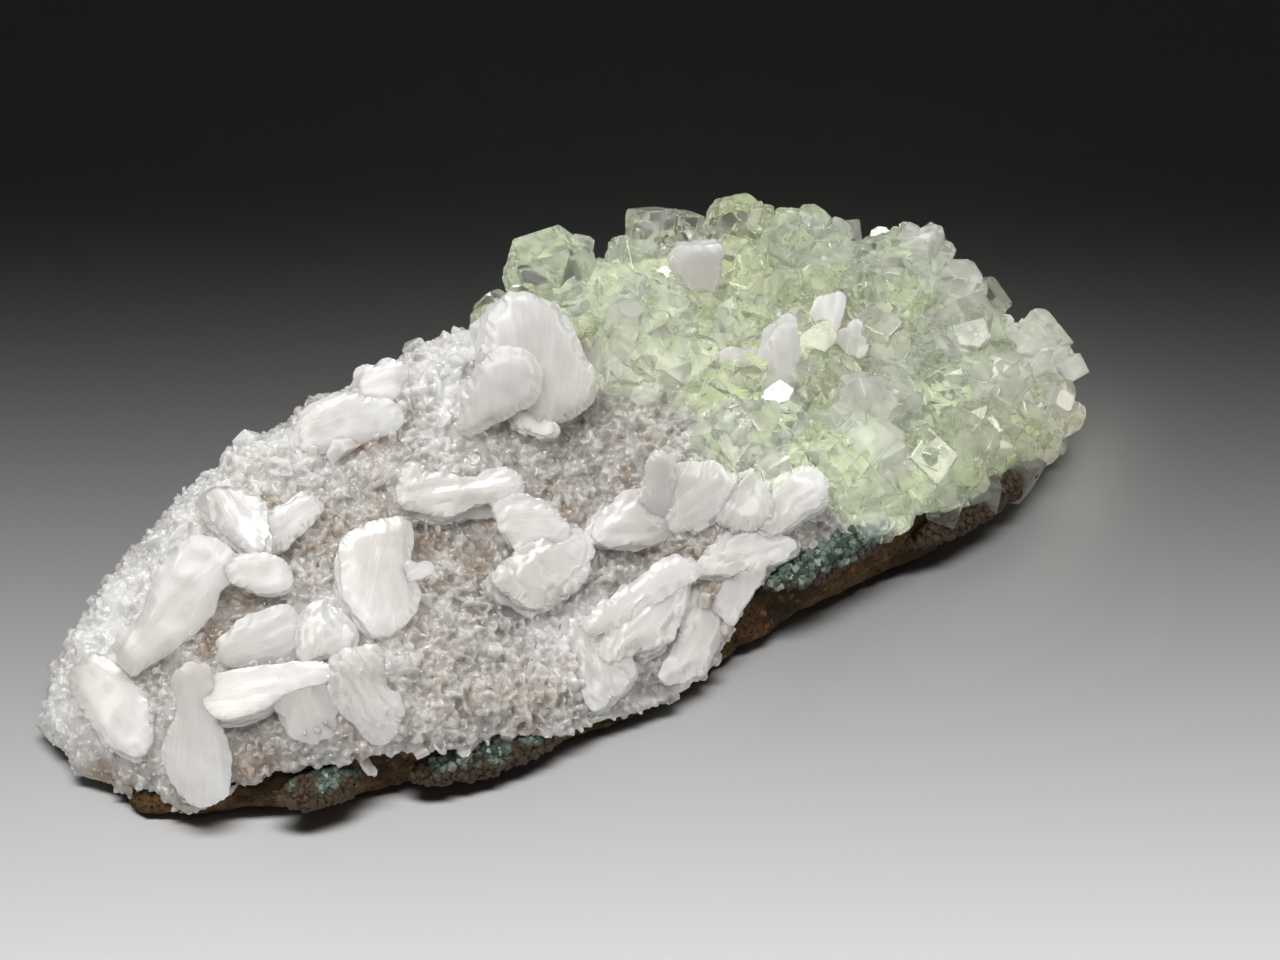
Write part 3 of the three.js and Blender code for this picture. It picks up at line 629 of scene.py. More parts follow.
# A blade lies in the plane that holds the line from its root to its tip, and it faces up the slope, rolled
# by turn degrees about that line. outline is its edge, as it is seen in the photograph's 1280 x 960 pixels.
# It rises by dome within rim millimetres of its edge and hangs down by deep. steps are growth steps on its
# top, ridge and ragged are the shares of its ridges' height and of its edge's raggedness, and drop lowers
# it. One thin plate lies below it, and under more of them.
Blade = namedtuple("Blade", "root tip dome rim deep outline turn steps under drop ridge ragged",
                   defaults=(0, 0, 0, 0, 1, 1))
SMOOTH = dict(ridge=0.35, ragged=0.7)
SLOPE_FACING = unit([-0.3, -0.5, 0.8])
BLADES = {
    "left_end_leaf": [
        Blade((-79.5, 8, 13), (-77, -9, 9.5), 2.2, 2.6, 3, [(71, 672), (88, 658), (102, 660),
              (135, 685), (145, 700), (152, 740), (142, 755), (112, 745), (85, 710), (74, 690)], drop=-1.3,
              **SMOOTH)],
    "elbow": [
        Blade((-70.5, -10, 23.5), (-75, -18.5, 9.5), 2.4, 2.6, 3.5, [(175, 680), (179, 670),
              (191, 664), (205, 666), (210, 675), (215, 720), (227, 758), (228, 778), (224, 795),
              (205, 805), (188, 800), (168, 765), (165, 748), (170, 732), (180, 718), (181, 705)], **SMOOTH),
        Blade((-72, -12, 21), (-54.5, -19.5, 22.5), 1.3, 1.4, 3, [(205, 684), (242, 671), (318, 665),
              (330, 670), (328, 680), (280, 691), (268, 704), (250, 712), (230, 717), (216, 714),
              (206, 705)], turn=-15, under=2, ridge=1.5, ragged=0.35)],
    "white_block": [
        Blade((-52, -20, 25), (-52.5, -28.5, 14), 2.6, 1.6, 3.5, [(336, 655), (372, 646), (378, 658),
              (380, 680), (388, 692), (398, 698), (400, 712), (397, 730), (385, 740), (368, 738),
              (338, 700), (330, 685)], steps=3, under=1),
        Blade((-58, -20, 21), (-57, -27, 14), 0.5, 1, 0.6, [(274, 695), (292, 688), (328, 685),
              (336, 732), (318, 741), (298, 738), (280, 712)], drop=0.6)],
    "plate_stack": [
        Blade((-57, -14.5, 22), (-49, -13.5, 23.5), 1.2, 1.2, 2.5, [(301, 628), (312, 610),
              (325, 607), (338, 615), (350, 628), (353, 640), (346, 650), (312, 655), (305, 660),
              (301, 645)], steps=3, under=3)],
    "grey_plate": [
        Blade((-68, -4, 20), (-54.5, -7, 23.5), 0.9, 1.4, 1.8, [(220, 660), (224, 640), (245, 622),
              (268, 612), (290, 609), (301, 622), (301, 645), (292, 660), (255, 664)], turn=10, steps=1,
              drop=-1)],
    "long_leaf": [
        Blade((-76, 4, 17), (-58.5, 5, 29), 2.2, 2.8, 3.5, [(115, 645), (144, 620), (158, 578),
              (172, 558), (188, 542), (205, 538), (222, 544), (232, 558), (236, 570), (230, 581),
              (215, 592), (209, 620), (138, 673), (129, 670), (120, 659)], **SMOOTH),
        Blade((-62, 3, 28), (-51.5, -4.5, 27), 1.6, 1.8, 2.5, [(228, 568), (238, 559), (272, 557),
              (284, 566), (290, 579), (281, 590), (262, 592), (232, 580)], **SMOOTH)],
    "wings": [
        Blade((-52, 18.5, 29.5), (-55.5, 3, 29), 1.4, 1.6, 2.5, [(199, 499), (215, 490), (240, 493),
              (256, 500), (266, 512), (263, 556), (232, 541)], steps=1),
        Blade((-57.5, 3.2, 28), (-41, 7.5, 27.5), 1.3, 1.6, 2.5, [(250, 552), (252, 535), (264, 518),
              (295, 502), (312, 499), (322, 506), (318, 518), (264, 558)], steps=1)],
    "mid_shell": [
        Blade((-33.5, -2.5, 27.5), (-44.5, -18, 21), 2.8, 4, 3.5, [(342, 560), (344, 545), (355, 532),
              (392, 520), (406, 524), (410, 535), (408, 552), (410, 570), (418, 595), (413, 612),
              (400, 626), (385, 633), (372, 634), (350, 605), (344, 585)], turn=-15, **SMOOTH),
        Blade((-42, -11, 24), (-29.5, -9.5, 25.5), 0.6, 0.8, 1.2, [(400, 580), (405, 570), (420, 564),
              (433, 564), (412, 579)])],
    "centre_leaf": [
        Blade((-17, -14, 22.5), (-8, -14, 21), 2, 2.6, 3, [(492, 580), (500, 569), (540, 540),
              (570, 531), (585, 534), (594, 545), (584, 580), (540, 606), (525, 604)], steps=2, under=2),
        Blade((-20, -7, 25), (-11, -12, 24), 0.5, 1, 0.8, [(498, 512), (508, 502), (525, 501),
              (542, 505), (569, 532), (555, 545), (535, 555), (518, 552), (502, 525)], steps=1, drop=-0.5)],
    "centre_bar": [
        Blade((-30, 2, 28), (-12, -4.5, 27), 1.3, 1.4, 3, [(399, 495), (407, 466), (416, 465),
              (426, 476), (440, 479), (475, 480), (492, 474), (509, 473), (521, 480), (520, 490),
              (514, 500), (475, 503), (445, 517), (404, 505)], steps=2, under=2)],
    "dome": [
        Blade((-6, 2.5, 27), (1, 15, 44.5), 3.4, 4.5, 5, [(484, 358), (487, 330), (497, 308),
              (515, 296), (534, 296), (566, 318), (571, 335), (588, 370), (593, 388), (591, 404),
              (562, 418), (546, 418), (530, 410), (490, 378)], turn=8, steps=1, under=1),
        Blade((-10.5, 4.5, 27), (-4.5, 10.5, 41), 3, 3.6, 4, [(458, 430), (469, 388), (479, 370),
              (490, 358), (505, 350), (519, 348), (531, 358), (539, 375), (541, 390), (531, 405),
              (511, 412), (468, 434)], steps=1),
        Blade((-4, 4, 30), (0.5, -1, 30), 1, 1, 1.2, [(510, 410), (525, 411), (550, 428), (546, 432),
              (530, 430), (516, 423)])],
    "left_hump": [
        Blade((-37.5, 19, 32), (-22.5, 15, 32.5), 2, 2.4, 3, [(300, 432), (310, 415), (330, 402),
              (350, 398), (398, 405), (402, 420), (390, 432), (350, 442), (325, 452), (305, 450)], **SMOOTH)],
    "left_cap": [
        Blade((-27.5, 23, 33.5), (-18.5, 19, 36), 1.6, 1.8, 2.5, [(353, 394), (356, 378), (361, 370),
              (390, 362), (401, 366), (403, 380), (398, 396), (385, 403), (366, 403)], steps=1)],
    "mid_fan": [
        Blade((4, -15.5, 18), (5.2, -13.5, 32), 1.4, 1.2, 2.2, [(641, 520), (650, 462), (660, 454),
              (670, 458), (673, 470), (670, 490), (676, 508), (674, 525), (655, 528)], steps=1),
        Blade((5, -16.5, 20), (-7, -13.5, 22), 1, 1.4, 2.4, [(590, 530), (620, 500), (635, 492),
              (648, 490), (650, 515), (665, 522), (678, 520), (672, 531), (655, 540), (635, 544),
              (615, 544), (600, 540)], steps=2, under=2),
        Blade((3.5, -16, 20), (12.5, -20.5, 30), 0.5, 0.9, 1.8, [(672, 470), (690, 463), (710, 464),
              (726, 470), (730, 482), (726, 495), (710, 520), (695, 527), (675, 528), (670, 515)], turn=-10,
              steps=2, under=2)],
    "right_fan": [
        Blade((9, -25, 22.5), (18.5, -26, 29), 0.8, 1, 1.8, [(719, 508), (734, 482), (732, 471),
              (746, 469), (761, 481), (770, 508), (770, 520), (760, 527), (740, 527), (724, 521)], steps=2,
              under=2),
        Blade((12, -27.5, 23), (24, -30, 27), 0.8, 1, 1.8, [(760, 525), (763, 502), (777, 474),
              (798, 471), (815, 473), (826, 482), (823, 498), (782, 528), (768, 529)], turn=-10, steps=2,
              under=2)],
    "petal": [
        Blade((4, -25, 17.5), (18, -32.5, 20.5), 0.8, 1.2, 1.4, [(699, 564), (722, 536), (735, 530),
              (755, 527), (775, 530), (797, 545), (786, 555), (758, 568), (715, 573), (702, 571)], turn=-10,
              steps=2, under=1, drop=-1.2)],
    "blade": [
        Blade((12.5, -31, 19.5), (4.5, -32, 11), 0.6, 0.9, 1.2, [(770, 559), (732, 620), (724, 620),
              (716, 609), (720, 592), (730, 578), (746, 564)], turn=20, steps=1, drop=-1.2)],
    "long_leaf_front": [
        Blade((-15, -29.5, 14.5), (4.5, -24, 16.5), 1.5, 1.8, 2.4, [(601, 654), (608, 638),
              (635, 602), (660, 585), (698, 572), (672, 633), (655, 646), (635, 647), (620, 657),
              (610, 659)], steps=2, under=2),
        Blade((-15, -27, 17), (3, -23, 19), 0.5, 0.9, 1.2, [(582, 622), (671, 556), (698, 566),
              (698, 576), (655, 595), (610, 630), (590, 632)], steps=1)],
    "bowl_leaf": [
        Blade((4.5, -27.5, 13.5), (-9, -35, 8), 1, 1.4, 1.8, [(694, 582), (726, 618), (720, 638),
              (700, 668), (686, 680), (668, 681), (659, 675), (678, 645), (686, 605)], turn=-15, steps=2,
              under=1)],
    "needle_bundle": [
        Blade((-15.5, -23.5, 16), (-23, -34, 7), 1, 1, 1.8, [(569, 635), (575, 620), (585, 638),
              (605, 650), (628, 658), (630, 680), (598, 711), (588, 698)], steps=3, under=1)],
    "small_bow": [
        Blade((23.5, -4, 32.5), (31, -7, 31), 1, 1, 1.6, [(717, 358), (725, 353), (750, 353),
              (768, 360), (773, 368), (768, 377), (732, 377), (721, 370)], steps=2, under=2)],
    "summit_post": [
        Blade((30, 11, 35), (30.4, 13, 43.5), 1.4, 1.2, 2.5, [(672, 259), (680, 249), (716, 247),
              (719, 258), (716, 290), (700, 293), (687, 290), (685, 278), (674, 268)], steps=1, under=1)],
    "pink_prism": [
        Blade((42.5, -4, 27), (48.5, -1, 33.5), 1.1, 1, 2, [(809, 320), (820, 302), (838, 294),
              (844, 302), (833, 330), (826, 338), (811, 336)]),
        Blade((47, -5.5, 27), (50, -4, 31), 0.8, 0.8, 1.2, [(840, 338), (853, 320), (860, 332),
              (864, 348), (856, 356), (845, 348)])],
    "frosted_prism": [
        Blade((29.5, -11, 27), (32, -7, 37), 1.2, 1, 2.4, [(765, 352), (775, 332), (785, 325),
              (798, 325), (796, 375), (781, 398), (772, 400), (772, 380)], steps=1)],
}
UNDERCUT = 2.0   # how far in from its edge a blade is thin
FLATTER = 0.32   # the share of dome that a blade's top rises by, before its steps and ridges
GRID = 0.44      # distance of the points that a blade's two faces are made from
HALF_RIM = 0.15  # half the thickness of a blade's edge
PLATE_GAP = 0.85 # how far each thin plate lies below the one above
FAN = 1.1        # how far behind its middle a blade's ridges meet, as a share of its length


def sight_lines(pixels):
    """The directions in which the camera sees some of the photograph's pixels."""
    x, y = (np.array(pixels, float) - (PHOTO_WIDTH / 2, PHOTO_HEIGHT / 2)).T / (LENS / 36 * PHOTO_WIDTH)
    return np.outer(x, ACROSS) - np.outer(y, np.cross(BACK, ACROSS)) - np.array(BACK)


def edge_distance(x, y, outline):
    """How far points lie within a closed outline. It is below 0 outside."""
    best = np.full(x.shape, np.inf)
    within = np.zeros(x.shape, bool)
    for (x0, y0), (x1, y1) in zip(outline, np.roll(outline, -1, 0)):
        dx, dy = x1 - x0, y1 - y0
        f = np.clip(((x - x0) * dx + (y - y0) * dy) / (dx * dx + dy * dy), 0, 1)
        best = np.minimum(best, np.hypot(x - x0 - f * dx, y - y0 - f * dy))
        crossing = (y0 > y) != (y1 > y)
        within ^= crossing & (x < x0 + dx * (y - y0) / (dy if dy else 1e-9))
    return np.where(within, best, -best)


def rounded(outline, cut=0.22):
    """An outline with its corners cut."""
    after = np.roll(outline, -1, 0)
    pairs = [(1 - cut) * outline + cut * after, cut * outline + (1 - cut) * after]
    return np.stack(pairs, 1).reshape(-1, 2)


def flat_noise(x, y, size, seed, octaves=1):
    flat = np.stack([x.ravel(), y.ravel(), np.full(x.size, 3.3 * seed)], 1)
    return noise(flat * MM, size, seed, octaves).reshape(x.shape)


def fanned(x, reach, length):
    """How far across its fibres a point lies, where they fan out from behind the root."""
    return np.arctan2(x, reach) * FAN * length


def plate_of(blade, length, outline, level, grow, rng):
    """One plate: two faces over a grid within the outline, and the rim between them."""
    seed = int(rng.integers(1, 9999))
    low, high = outline.min(0) - 1.5, outline.max(0) + 1.5
    xs, ys = (np.arange(low[k], high[k], GRID) for k in (0, 1))
    x, y = np.meshgrid(xs, ys, indexing="ij")
    reach = y + FAN * length
    fan = fanned(x, reach, length)
    ridges = (0.22 * flat_noise(fan * 0.7, reach * 0.07, 1, seed + 11) +
              0.09 * flat_noise(fan * 1.5, reach * 0.12, 1, seed + 12))
    ragged = blade.ragged * (0.55 * flat_noise(x, y, 2.6, seed, 3) + 2.0 * ridges)
    inside_by = edge_distance(x, y, outline) + grow + ragged
    d = np.maximum(inside_by, 0)
    rise = np.minimum(d / (0.75 * blade.rim), 1)
    top = HALF_RIM + (FLATTER * blade.dome if level == 0 else 0.4) * rise * (2 - rise)
    if level == 0:
        for k in range(blade.steps):
            cut = d - 0.7 - 1.1 * k - 0.8 * flat_noise(x, y, 5, seed + 3 + k, 2)
            top += 0.36 * smoothstep(0, 0.25, cut)
        top += 0.3 * flat_noise(x, y, 5, seed + 9, 2) * rise
    top += blade.ridge * ridges * np.minimum(d + 0.2, 1)
    bottom = -HALF_RIM - (blade.deep if level == 0 else 0.5) * smoothstep(0, UNDERCUT, d)
    filled = inside_by > 0
    cell = filled[:-1, :-1] & filled[1:, :-1] & filled[:-1, 1:] & filled[1:, 1:]
    number = np.arange(x.size).reshape(x.shape)
    corners = (number[:-1, :-1], number[1:, :-1], number[1:, 1:], number[:-1, 1:])
    a, b, c, e = (corner[cell] for corner in corners)
    upper = np.concatenate([np.stack([a, b, c], 1), np.stack([a, c, e], 1)])
    sides = np.concatenate([np.stack(pair, 1) for pair in ((a, b), (b, c), (c, e), (e, a))])
    seen = set(map(tuple, sides.tolist()))
    rim = np.array([(p, q) for p, q in sides.tolist() if (q, p) not in seen])
    lower = upper[:, ::-1] + x.size
    # The rim's points move out onto the outline itself.
    slope_x, slope_y = np.gradient(inside_by, GRID)
    steep = np.maximum(np.hypot(slope_x, slope_y), 0.3) ** 2
    edge = np.unique(rim)
    for grid, slope in ((x, slope_x), (y, slope_y)):
        grid.ravel()[edge] -= (inside_by * slope / steep).ravel()[edge].clip(-GRID, GRID)
    walls = np.concatenate([np.stack([rim[:, 1], rim[:, 0], rim[:, 0] + x.size], 1),
                            np.stack([rim[:, 1], rim[:, 0] + x.size, rim[:, 1] + x.size], 1)])
    flat = np.concatenate([np.stack([x.ravel(), y.ravel(), z.ravel()], 1) for z in (top, bottom)])
    tris = np.concatenate([upper, lower, walls])
    used, tris = np.unique(tris, return_inverse=True)
    return flat[used], tris.reshape(-1, 3)


def plates_of(blade, rng):
    """A blade's plates, placed, with where their points lie along and across its fibres."""
    start, end = np.array(blade.root, float), np.array(blade.tip, float)
    middle, length = (start + end) / 2, np.linalg.norm(end - start)
    along = (end - start) / length
    facing = unit(SLOPE_FACING - along * SLOPE_FACING.dot(along))
    roll = math.radians(blade.turn)
    facing = facing * math.cos(roll) + np.cross(along, facing) * math.sin(roll)
    side = np.cross(facing, along)
    middle = middle - facing * blade.drop
    eye = plate(TARGET + BACK * DISTANCE)
    lines = sight_lines(blade.outline)
    seen = eye + lines * (((middle - eye) @ facing) / (lines @ facing))[:, None] - middle
    outline = rounded(np.stack([seen @ side, seen @ along], 1))
    parts = []
    for level in range(blade.under + 2):
        # The top plate keeps the outline, and those below it are turned, moved and leaned a little.
        turned = math.radians(rng.uniform(-7, 7)) * (level > 0)
        cos, sin = math.cos(turned), math.sin(turned)
        spun = outline @ np.array([[cos, sin], [-sin, cos]])
        grow = rng.uniform(-0.3, 1.0) if level else 0.55
        spun = spun + rng.uniform(-0.6, 0.6, 2) * (level > 0)
        flat, tris = plate_of(blade, length, spun, level, grow, rng)
        lean = math.tan(math.radians(rng.uniform(2, 7))) * (level > 0)
        height = flat[:, 2] - level * PLATE_GAP - lean * (flat[:, 1] + length / 2) * 0.5
        co = middle + side * flat[:, :1] + along * flat[:, 1:2] + facing * height[:, None]
        reach = flat[:, 1] + FAN * length
        fan = fanned(flat[:, 0], reach, length)
        fibre = np.stack([fan, reach, np.full(len(co), 9.0 * level)], 1)
        root = np.clip(0.5 - flat[:, 1] / length, 0, 1)
        parts.append((place(co), tris, {"fibre": fibre, "root": root}))
    return parts


def sheaf(name, blades, rng):
    """Blades grown together, as one solid with ridges that fan out along them."""
    plates = [part for blade in blades for part in plates_of(blade, rng)]
    co, _, extra = joined(plates)
    tree = KDTree(len(co))
    for i, p in enumerate(co):
        tree.insert(p, i)
    tree.balance()
    mesh = united([part[:2] for part in plates])
    points, faces, _ = arrays(mesh)
    bpy.data.meshes.remove(mesh)
    nearest = [tree.find(point)[1] for point in points]
    values = {key: value[nearest] for key, value in extra.items()}
    made = mesh_object("sheaf_" + name, points, faces, values, smooth=True)
    made.data.set_sharp_from_angle(angle=math.radians(50))
    return made


rng = np.random.default_rng(19)
SHEAVES = []
for name, blades in BLADES.items():
    SHEAVES.append(sheaf(name, blades, rng))
    finished(SHEAVES[-1], STILBITE, ["stilbite_" + name])


# ---- apophyllite ----

TINTS = {
    "west_block": "mint", "grey_block": "grey", "summit": "clear", "clear_west": "clear",
    "ridge_block": "leaf", "ridge_cube": "mint", "green_hollow": "leaf", "faceted_row": "clear",
    "sparkling": "clear", "mint_ridge": "mint", "east_cap": "frosted", "end_cube": "frosted",
    "frosted_pyramid": "frosted", "clear_pyramid": "clear", "sharp_block": "clear",
    "frosted_pair": "frosted", "front_point": "leaf", "front_green": "leaf", "olive_front": "leaf",
    "mint_point": "mint", "green_mid": "leaf", "rim_block": "mint", "east_low": "grey",
    "middle_green": "mint", "east_slope": "grey", "green_bed": "leaf", "back_west": "mint",
    "back_middle": "grey", "back_east": "mint",
}


def apophyllite_block(rng):
    """A square crystal with its top corners cut off. It stands on z = 0 and is 1 tall."""
    half = rng.uniform(0.36, 0.5) * np.array([1, rng.uniform(0.75, 1)])
    cut = rng.uniform(0.15, 0.75)
    corners = [(sx * half[0], sy * half[1], z) for sx, sy in SIGNS
               for z in (0, 1 - rng.uniform(0.2, 0.5) * cut)]
    corners += [(sx * half[0] * a, sy * half[1] * b, 1) for sx, sy in SIGNS
                for a, b in ((1 - cut, 0.95), (0.95, 1 - cut))]
    return hull(corners, BEVEL)


def apophyllite_point(rng):
    """A square crystal that ends in a blunt pyramid set on its corners."""
    half = rng.uniform(0.3, 0.42)
    shoulder = rng.uniform(0.35, 0.6)
    blunt = rng.uniform(0.06, 0.2)
    corners = corners_at(SIGNS, half, half, 0, shoulder)
    corners += corners_at(SIDES, half, half, shoulder + 0.18) + corners_at(SIDES, blunt, blunt, 1)
    return hull(corners, BEVEL)


rng = np.random.default_rng(23)
SHAPES = [apophyllite_block(rng) for _ in range(12)] + [apophyllite_point(rng) for _ in range(8)]
CRYSTAL_GAP = 2.5  # millimetres between the middles of the smaller crystals
USUALLY_OVERGROWN = 0.85  # the share of the places on a block that a smaller crystal grows on
OVERGROWN = {"west_block": 0.3, "mint_point": 0.25, "grey_block": 0.3, "clear_west": 0.5, "sharp_block": 0.5,
             "frosted_pair": 0.6, "end_cube": 0.5}


def axes_of(mesh):
    """The directions that a crystal's largest faces look in, as a frame's columns."""
    co, tris, _ = arrays(mesh)
    cross = np.cross(co[tris[:, 1]] - co[tris[:, 0]], co[tris[:, 2]] - co[tris[:, 0]])
    area = np.linalg.norm(cross, axis=1)
    normals = cross / np.maximum(area, 1e-15)[:, None]
    alike = (np.abs(normals @ normals.T) > 0.98) @ area
    first = normals[np.argmax(alike)]
    second = normals[np.argmax(np.where(np.abs(normals @ first) < 0.3, alike, -1))]
    second = unit(second - first * first.dot(second))
    return np.stack([second, np.cross(first, second), first], 1)


def crystal_at(at, frame, size, rng):
    """One of the shapes, stretched a little, placed and kept above the ground."""
    co, tris = SHAPES[rng.integers(len(SHAPES))]
    stretch = rng.uniform(0.8, 1.2, 3)
    placed = (co * stretch * size) @ frame.T + at
    placed[:, 2] = np.maximum(placed[:, 2], ABOVE_GROUND)
    return placed, tris


def tilted(frame, degrees, rng):
    """A frame turned a little about a random axis."""
    axis = Vector(rng.normal(0, 1, 3)).normalized()
    return np.array(Matrix.Rotation(math.radians(rng.normal(0, degrees)), 3, axis)) @ frame


def upright(up, rng):
    """A frame that stands along up, turned at random."""
    side = unit(np.cross(up, rng.normal(0, 1, 3)))
    return np.stack([side, np.cross(up, side), up], 1)


def apophyllite_piece(name, solids):
    """Crystals grown through each other, as one solid that carries where it is frosted."""
    mesh = united(solids)
    points, faces, _ = arrays(mesh)
    bpy.data.meshes.remove(mesh)
    frost = smoothstep(0.1, 0.7, noise(points, 4, 53, 2))
    return mesh_object(name, points, faces, {"frost": frost})


def cluster(name, tint, rng):
    """A block with smaller ones grown through it, which lie nearly along its own axes."""
    node = NODES["apophyllite_" + name]
    where, up = samples(node.data, 2500, rng)
    rows = spaced(where, CRYSTAL_GAP)
    rows = rows[rng.random(len(rows)) < OVERGROWN.get(name, USUALLY_OVERGROWN)]
    axes = axes_of(node.data)
    solids = [arrays(changed(node.data, "WELD", merge_threshold=0.001 * MM))[:2]]
    for at, out in zip(where[rows], up[rows]):
        size = np.clip(rng.lognormal(1.25, 0.45), 1.5, 7.0) * MM
        # It stands along that axis of the block which is nearest to straight out.
        along = axes[:, np.argmax(np.abs(axes.T @ out))]
        along = along * np.sign(along @ out)
        side = axes[:, np.argmin(np.abs(axes.T @ along))]
        frame = tilted(np.stack([side, np.cross(along, side), along], 1), 20, rng)
        proud = rng.uniform(0.06, 0.34)
        solids.append(crystal_at(at - frame[:, 2] * (1 - proud) * size, frame, size, rng))
    piece = apophyllite_piece("crystal_" + name, solids)
    return finished(piece, GREENS[tint], ["apophyllite_" + name])


CLUSTERS = [cluster(name, tint, rng) for name, tint in TINTS.items()]
GROWN_TREE = tree_of(*[o.data for o in SHEAVES + CLUSTERS])

# Pixels of the photograph where the crust shows pink between the crystals.
PINK_ROCK = [(1040, 430), (1055, 460), (1000, 320), (1050, 480), (850, 330), (860, 350), (1062, 400),
             (1066, 380), (1070, 430), (1062, 445), (1030, 482), (1068, 470), (1075, 405)]


def spots(pixels):
    """Where the camera's lines through some of the photograph's pixels meet the crust."""
    eye = Vector(TARGET + BACK * DISTANCE)
    hits = [CRUST_TREE.ray_cast(eye, Vector(line))[0] for line in sight_lines(pixels)]
    return np.array([hit for hit in hits if hit is not None])


def near(points, places, reach):
    """1 at some places, and 0 from about twice reach millimetres away."""
    far = np.full(len(points), np.inf)
    for spot in places:
        far = np.minimum(far, ((points - spot) ** 2).sum(1))
    return np.exp(-far / (reach * MM) ** 2)


def open_places(count, clear, rng):
    """Random places on the crust, the normals there, and whether each has room for a grain.

    It has room if no rock lies over it, and if a point clear millimetres above it is in no larger crystal.
    """
    where, up = samples(crust.data, count, rng)
    room = [ROCK_TREE.ray_cast(Vector(p + 0.1 * MM * n), Vector(n), 8 * MM)[0] is None
            and not inside(GROWN_TREE, p + clear * MM * n) for p, n in zip(where, up)]
    return where, up, np.array(room)


pink = spots(PINK_ROCK)
where, up, has_room = open_places(20000, 0.4, rng)
share = green_share(where) * (1 - near(where, pink, 4))
keep = has_room & (where[:, 2] > 3 * MM) & (share > rng.uniform(0.3, 0.7, len(where)))
where, up = where[keep], up[keep]
rows = spaced(where, CRYSTAL_GAP)
family = rng.choice(5, len(rows), p=(0.22, 0.26, 0.22, 0.12, 0.18))
for k, tint in enumerate(GREENS):
    solids = []
    own = rows[family == k]
    for at, out in zip(where[own], up[own]):
        size = np.clip(rng.lognormal(1.4, 0.38), 2.0, 7.5) * MM
        frame = tilted(upright(out, rng), 22, rng)
        solids.append(crystal_at(at - frame[:, 2] * 0.55 * size, frame, size, rng))
    finished(apophyllite_piece("small_" + tint, solids), GREENS[tint])


# ---- druse ----

# Pixels of the photograph: brown hollows, milky white crystals, upright blades and bright single plates.
STAINS = [(430, 530), (470, 560), (215, 640), (262, 490), (355, 450), (320, 540), (350, 545), (430, 575),
          (300, 690), (640, 480), (560, 500), (690, 560), (720, 570), (240, 600), (260, 770), (110, 780)]
MILKY = [(300, 440), (340, 430), (260, 450), (220, 470), (180, 530), (420, 370), (470, 350), (440, 400),
         (130, 590), (90, 640), (390, 390), (360, 620), (470, 330), (230, 500), (80, 690), (580, 640)]
BLADED = [(440, 640), (500, 620), (540, 680), (480, 690), (580, 600), (420, 700), (520, 720), (600, 690)]
PLATES = [(473, 463), (553, 471), (586, 442), (659, 438), (415, 345), (490, 300), (673, 460), (560, 455),
          (445, 420)]

GRAIN_GAP = 0.6       # millimetres between the middles of the druse's grains
SUNK = 0.42           # the share of a grain's height that is in the crust
FINENESS = 0.27       # how many millimetres wide the faces of the druse's skin are
MOST_TRIANGLES = 196000

stains, milky, bladed = spots(STAINS), spots(MILKY), spots(BLADED)
rng = np.random.default_rng(7)
where, up, has_room = open_places(90000, 0.3, rng)
# Fewer grains, and larger ones, on the side away from the camera.
seen = (up @ BACK > -0.2) | (rng.random(len(where)) < 0.3)
keep = has_room & seen & (where[:, 2] > 0.6 * MM)
where, up = where[keep], up[keep]
# Grains also cement the blades' feet. They climb up to this many millimetres on these, 1.1 on the others.
CLIMB = {"sheaf_left_hump": 1.8, "sheaf_left_cap": 1.6, "sheaf_petal": 0.4, "sheaf_blade": 0.4}
for piece in SHEAVES:
    at, ups = samples(piece.data, 1300, rng)
    gap = np.array([CRUST_TREE.find_nearest(p)[3] for p in at.tolist()])
    low = gap < rng.uniform(0.2, CLIMB.get(piece.name, 1.1), len(gap)) * MM
    where, up = np.concatenate([where, at[low]]), np.concatenate([up, ups[low]])
order = rng.permutation(len(where))
where, up = where[order], up[order]
rows = spaced(where, GRAIN_GAP)
where, up = where[rows], up[rows]
# The free height over each place, so that no grain stands through a blade that grew over it.
rays = [GROWN_TREE.ray_cast(Vector(p + 0.05 * MM * n), Vector(n), 3 * MM)[3] for p, n in zip(where, up)]
room = np.array([3 if far is None else far / MM for far in rays])
where, up, room = where[room > 0.4], up[room > 0.4], room[room > 0.4]

blocks = [block(rng) for _ in range(8)] + [prism(rng) for _ in range(6)]
slim = [lath(rng) for _ in range(6)] + [flake(rng) for _ in range(4)]
white, blade = near(where, milky, 5), near(where, bladed, 5)
sizes = np.clip(rng.lognormal(-0.08, 0.35, len(where)) * (1 + 0.4 * noise(where, 8, 31)), 0.5, 2.2)
# Some of the milky ones are larger, and the druse is finer toward its left end.
sizes *= 1 + 0.9 * white * (rng.random(len(where)) < 0.35)
sizes *= 0.6 + 0.4 * smoothstep(-75, -50, plate(where)[:, 0])
sizes[up @ BACK < -0.2] *= 1.6
is_slim = rng.random(len(where)) < 0.25 + 0.2 * noise(where, 12, 41) + 0.5 * blade
parts = [arrays(crust.data)[:2] + ({},)]
for mask, kinds, longer, leaning in ((~is_slim, blocks, (0.9, 1.3), 0.4), (is_slim, slim, (1.4, 2.4), 0.7)):
    count = mask.sum()
    stretch = rng.uniform(0.8, 1.25, (count, 3))
    size = np.minimum(sizes[mask] * rng.uniform(*longer, count), 1.1 * room[mask])
    # Grains are smaller near the ground, and on faces that look sideways.
    steep = np.where(up[mask][:, 2] < 0.4, 0.5, 1)
    size = np.minimum(size, (1.3 + 0.2 * where[mask][:, 2] / MM) * steep) * MM
    foot = where[mask] - up[mask] * (SUNK * size)[:, None]
    co, tris, _ = strewn(kinds, foot, up[mask], size, stretch, leaning, rng)
    co[:, 2] = np.maximum(co[:, 2], ABOVE_GROUND)
    parts.append((co, tris, {}))
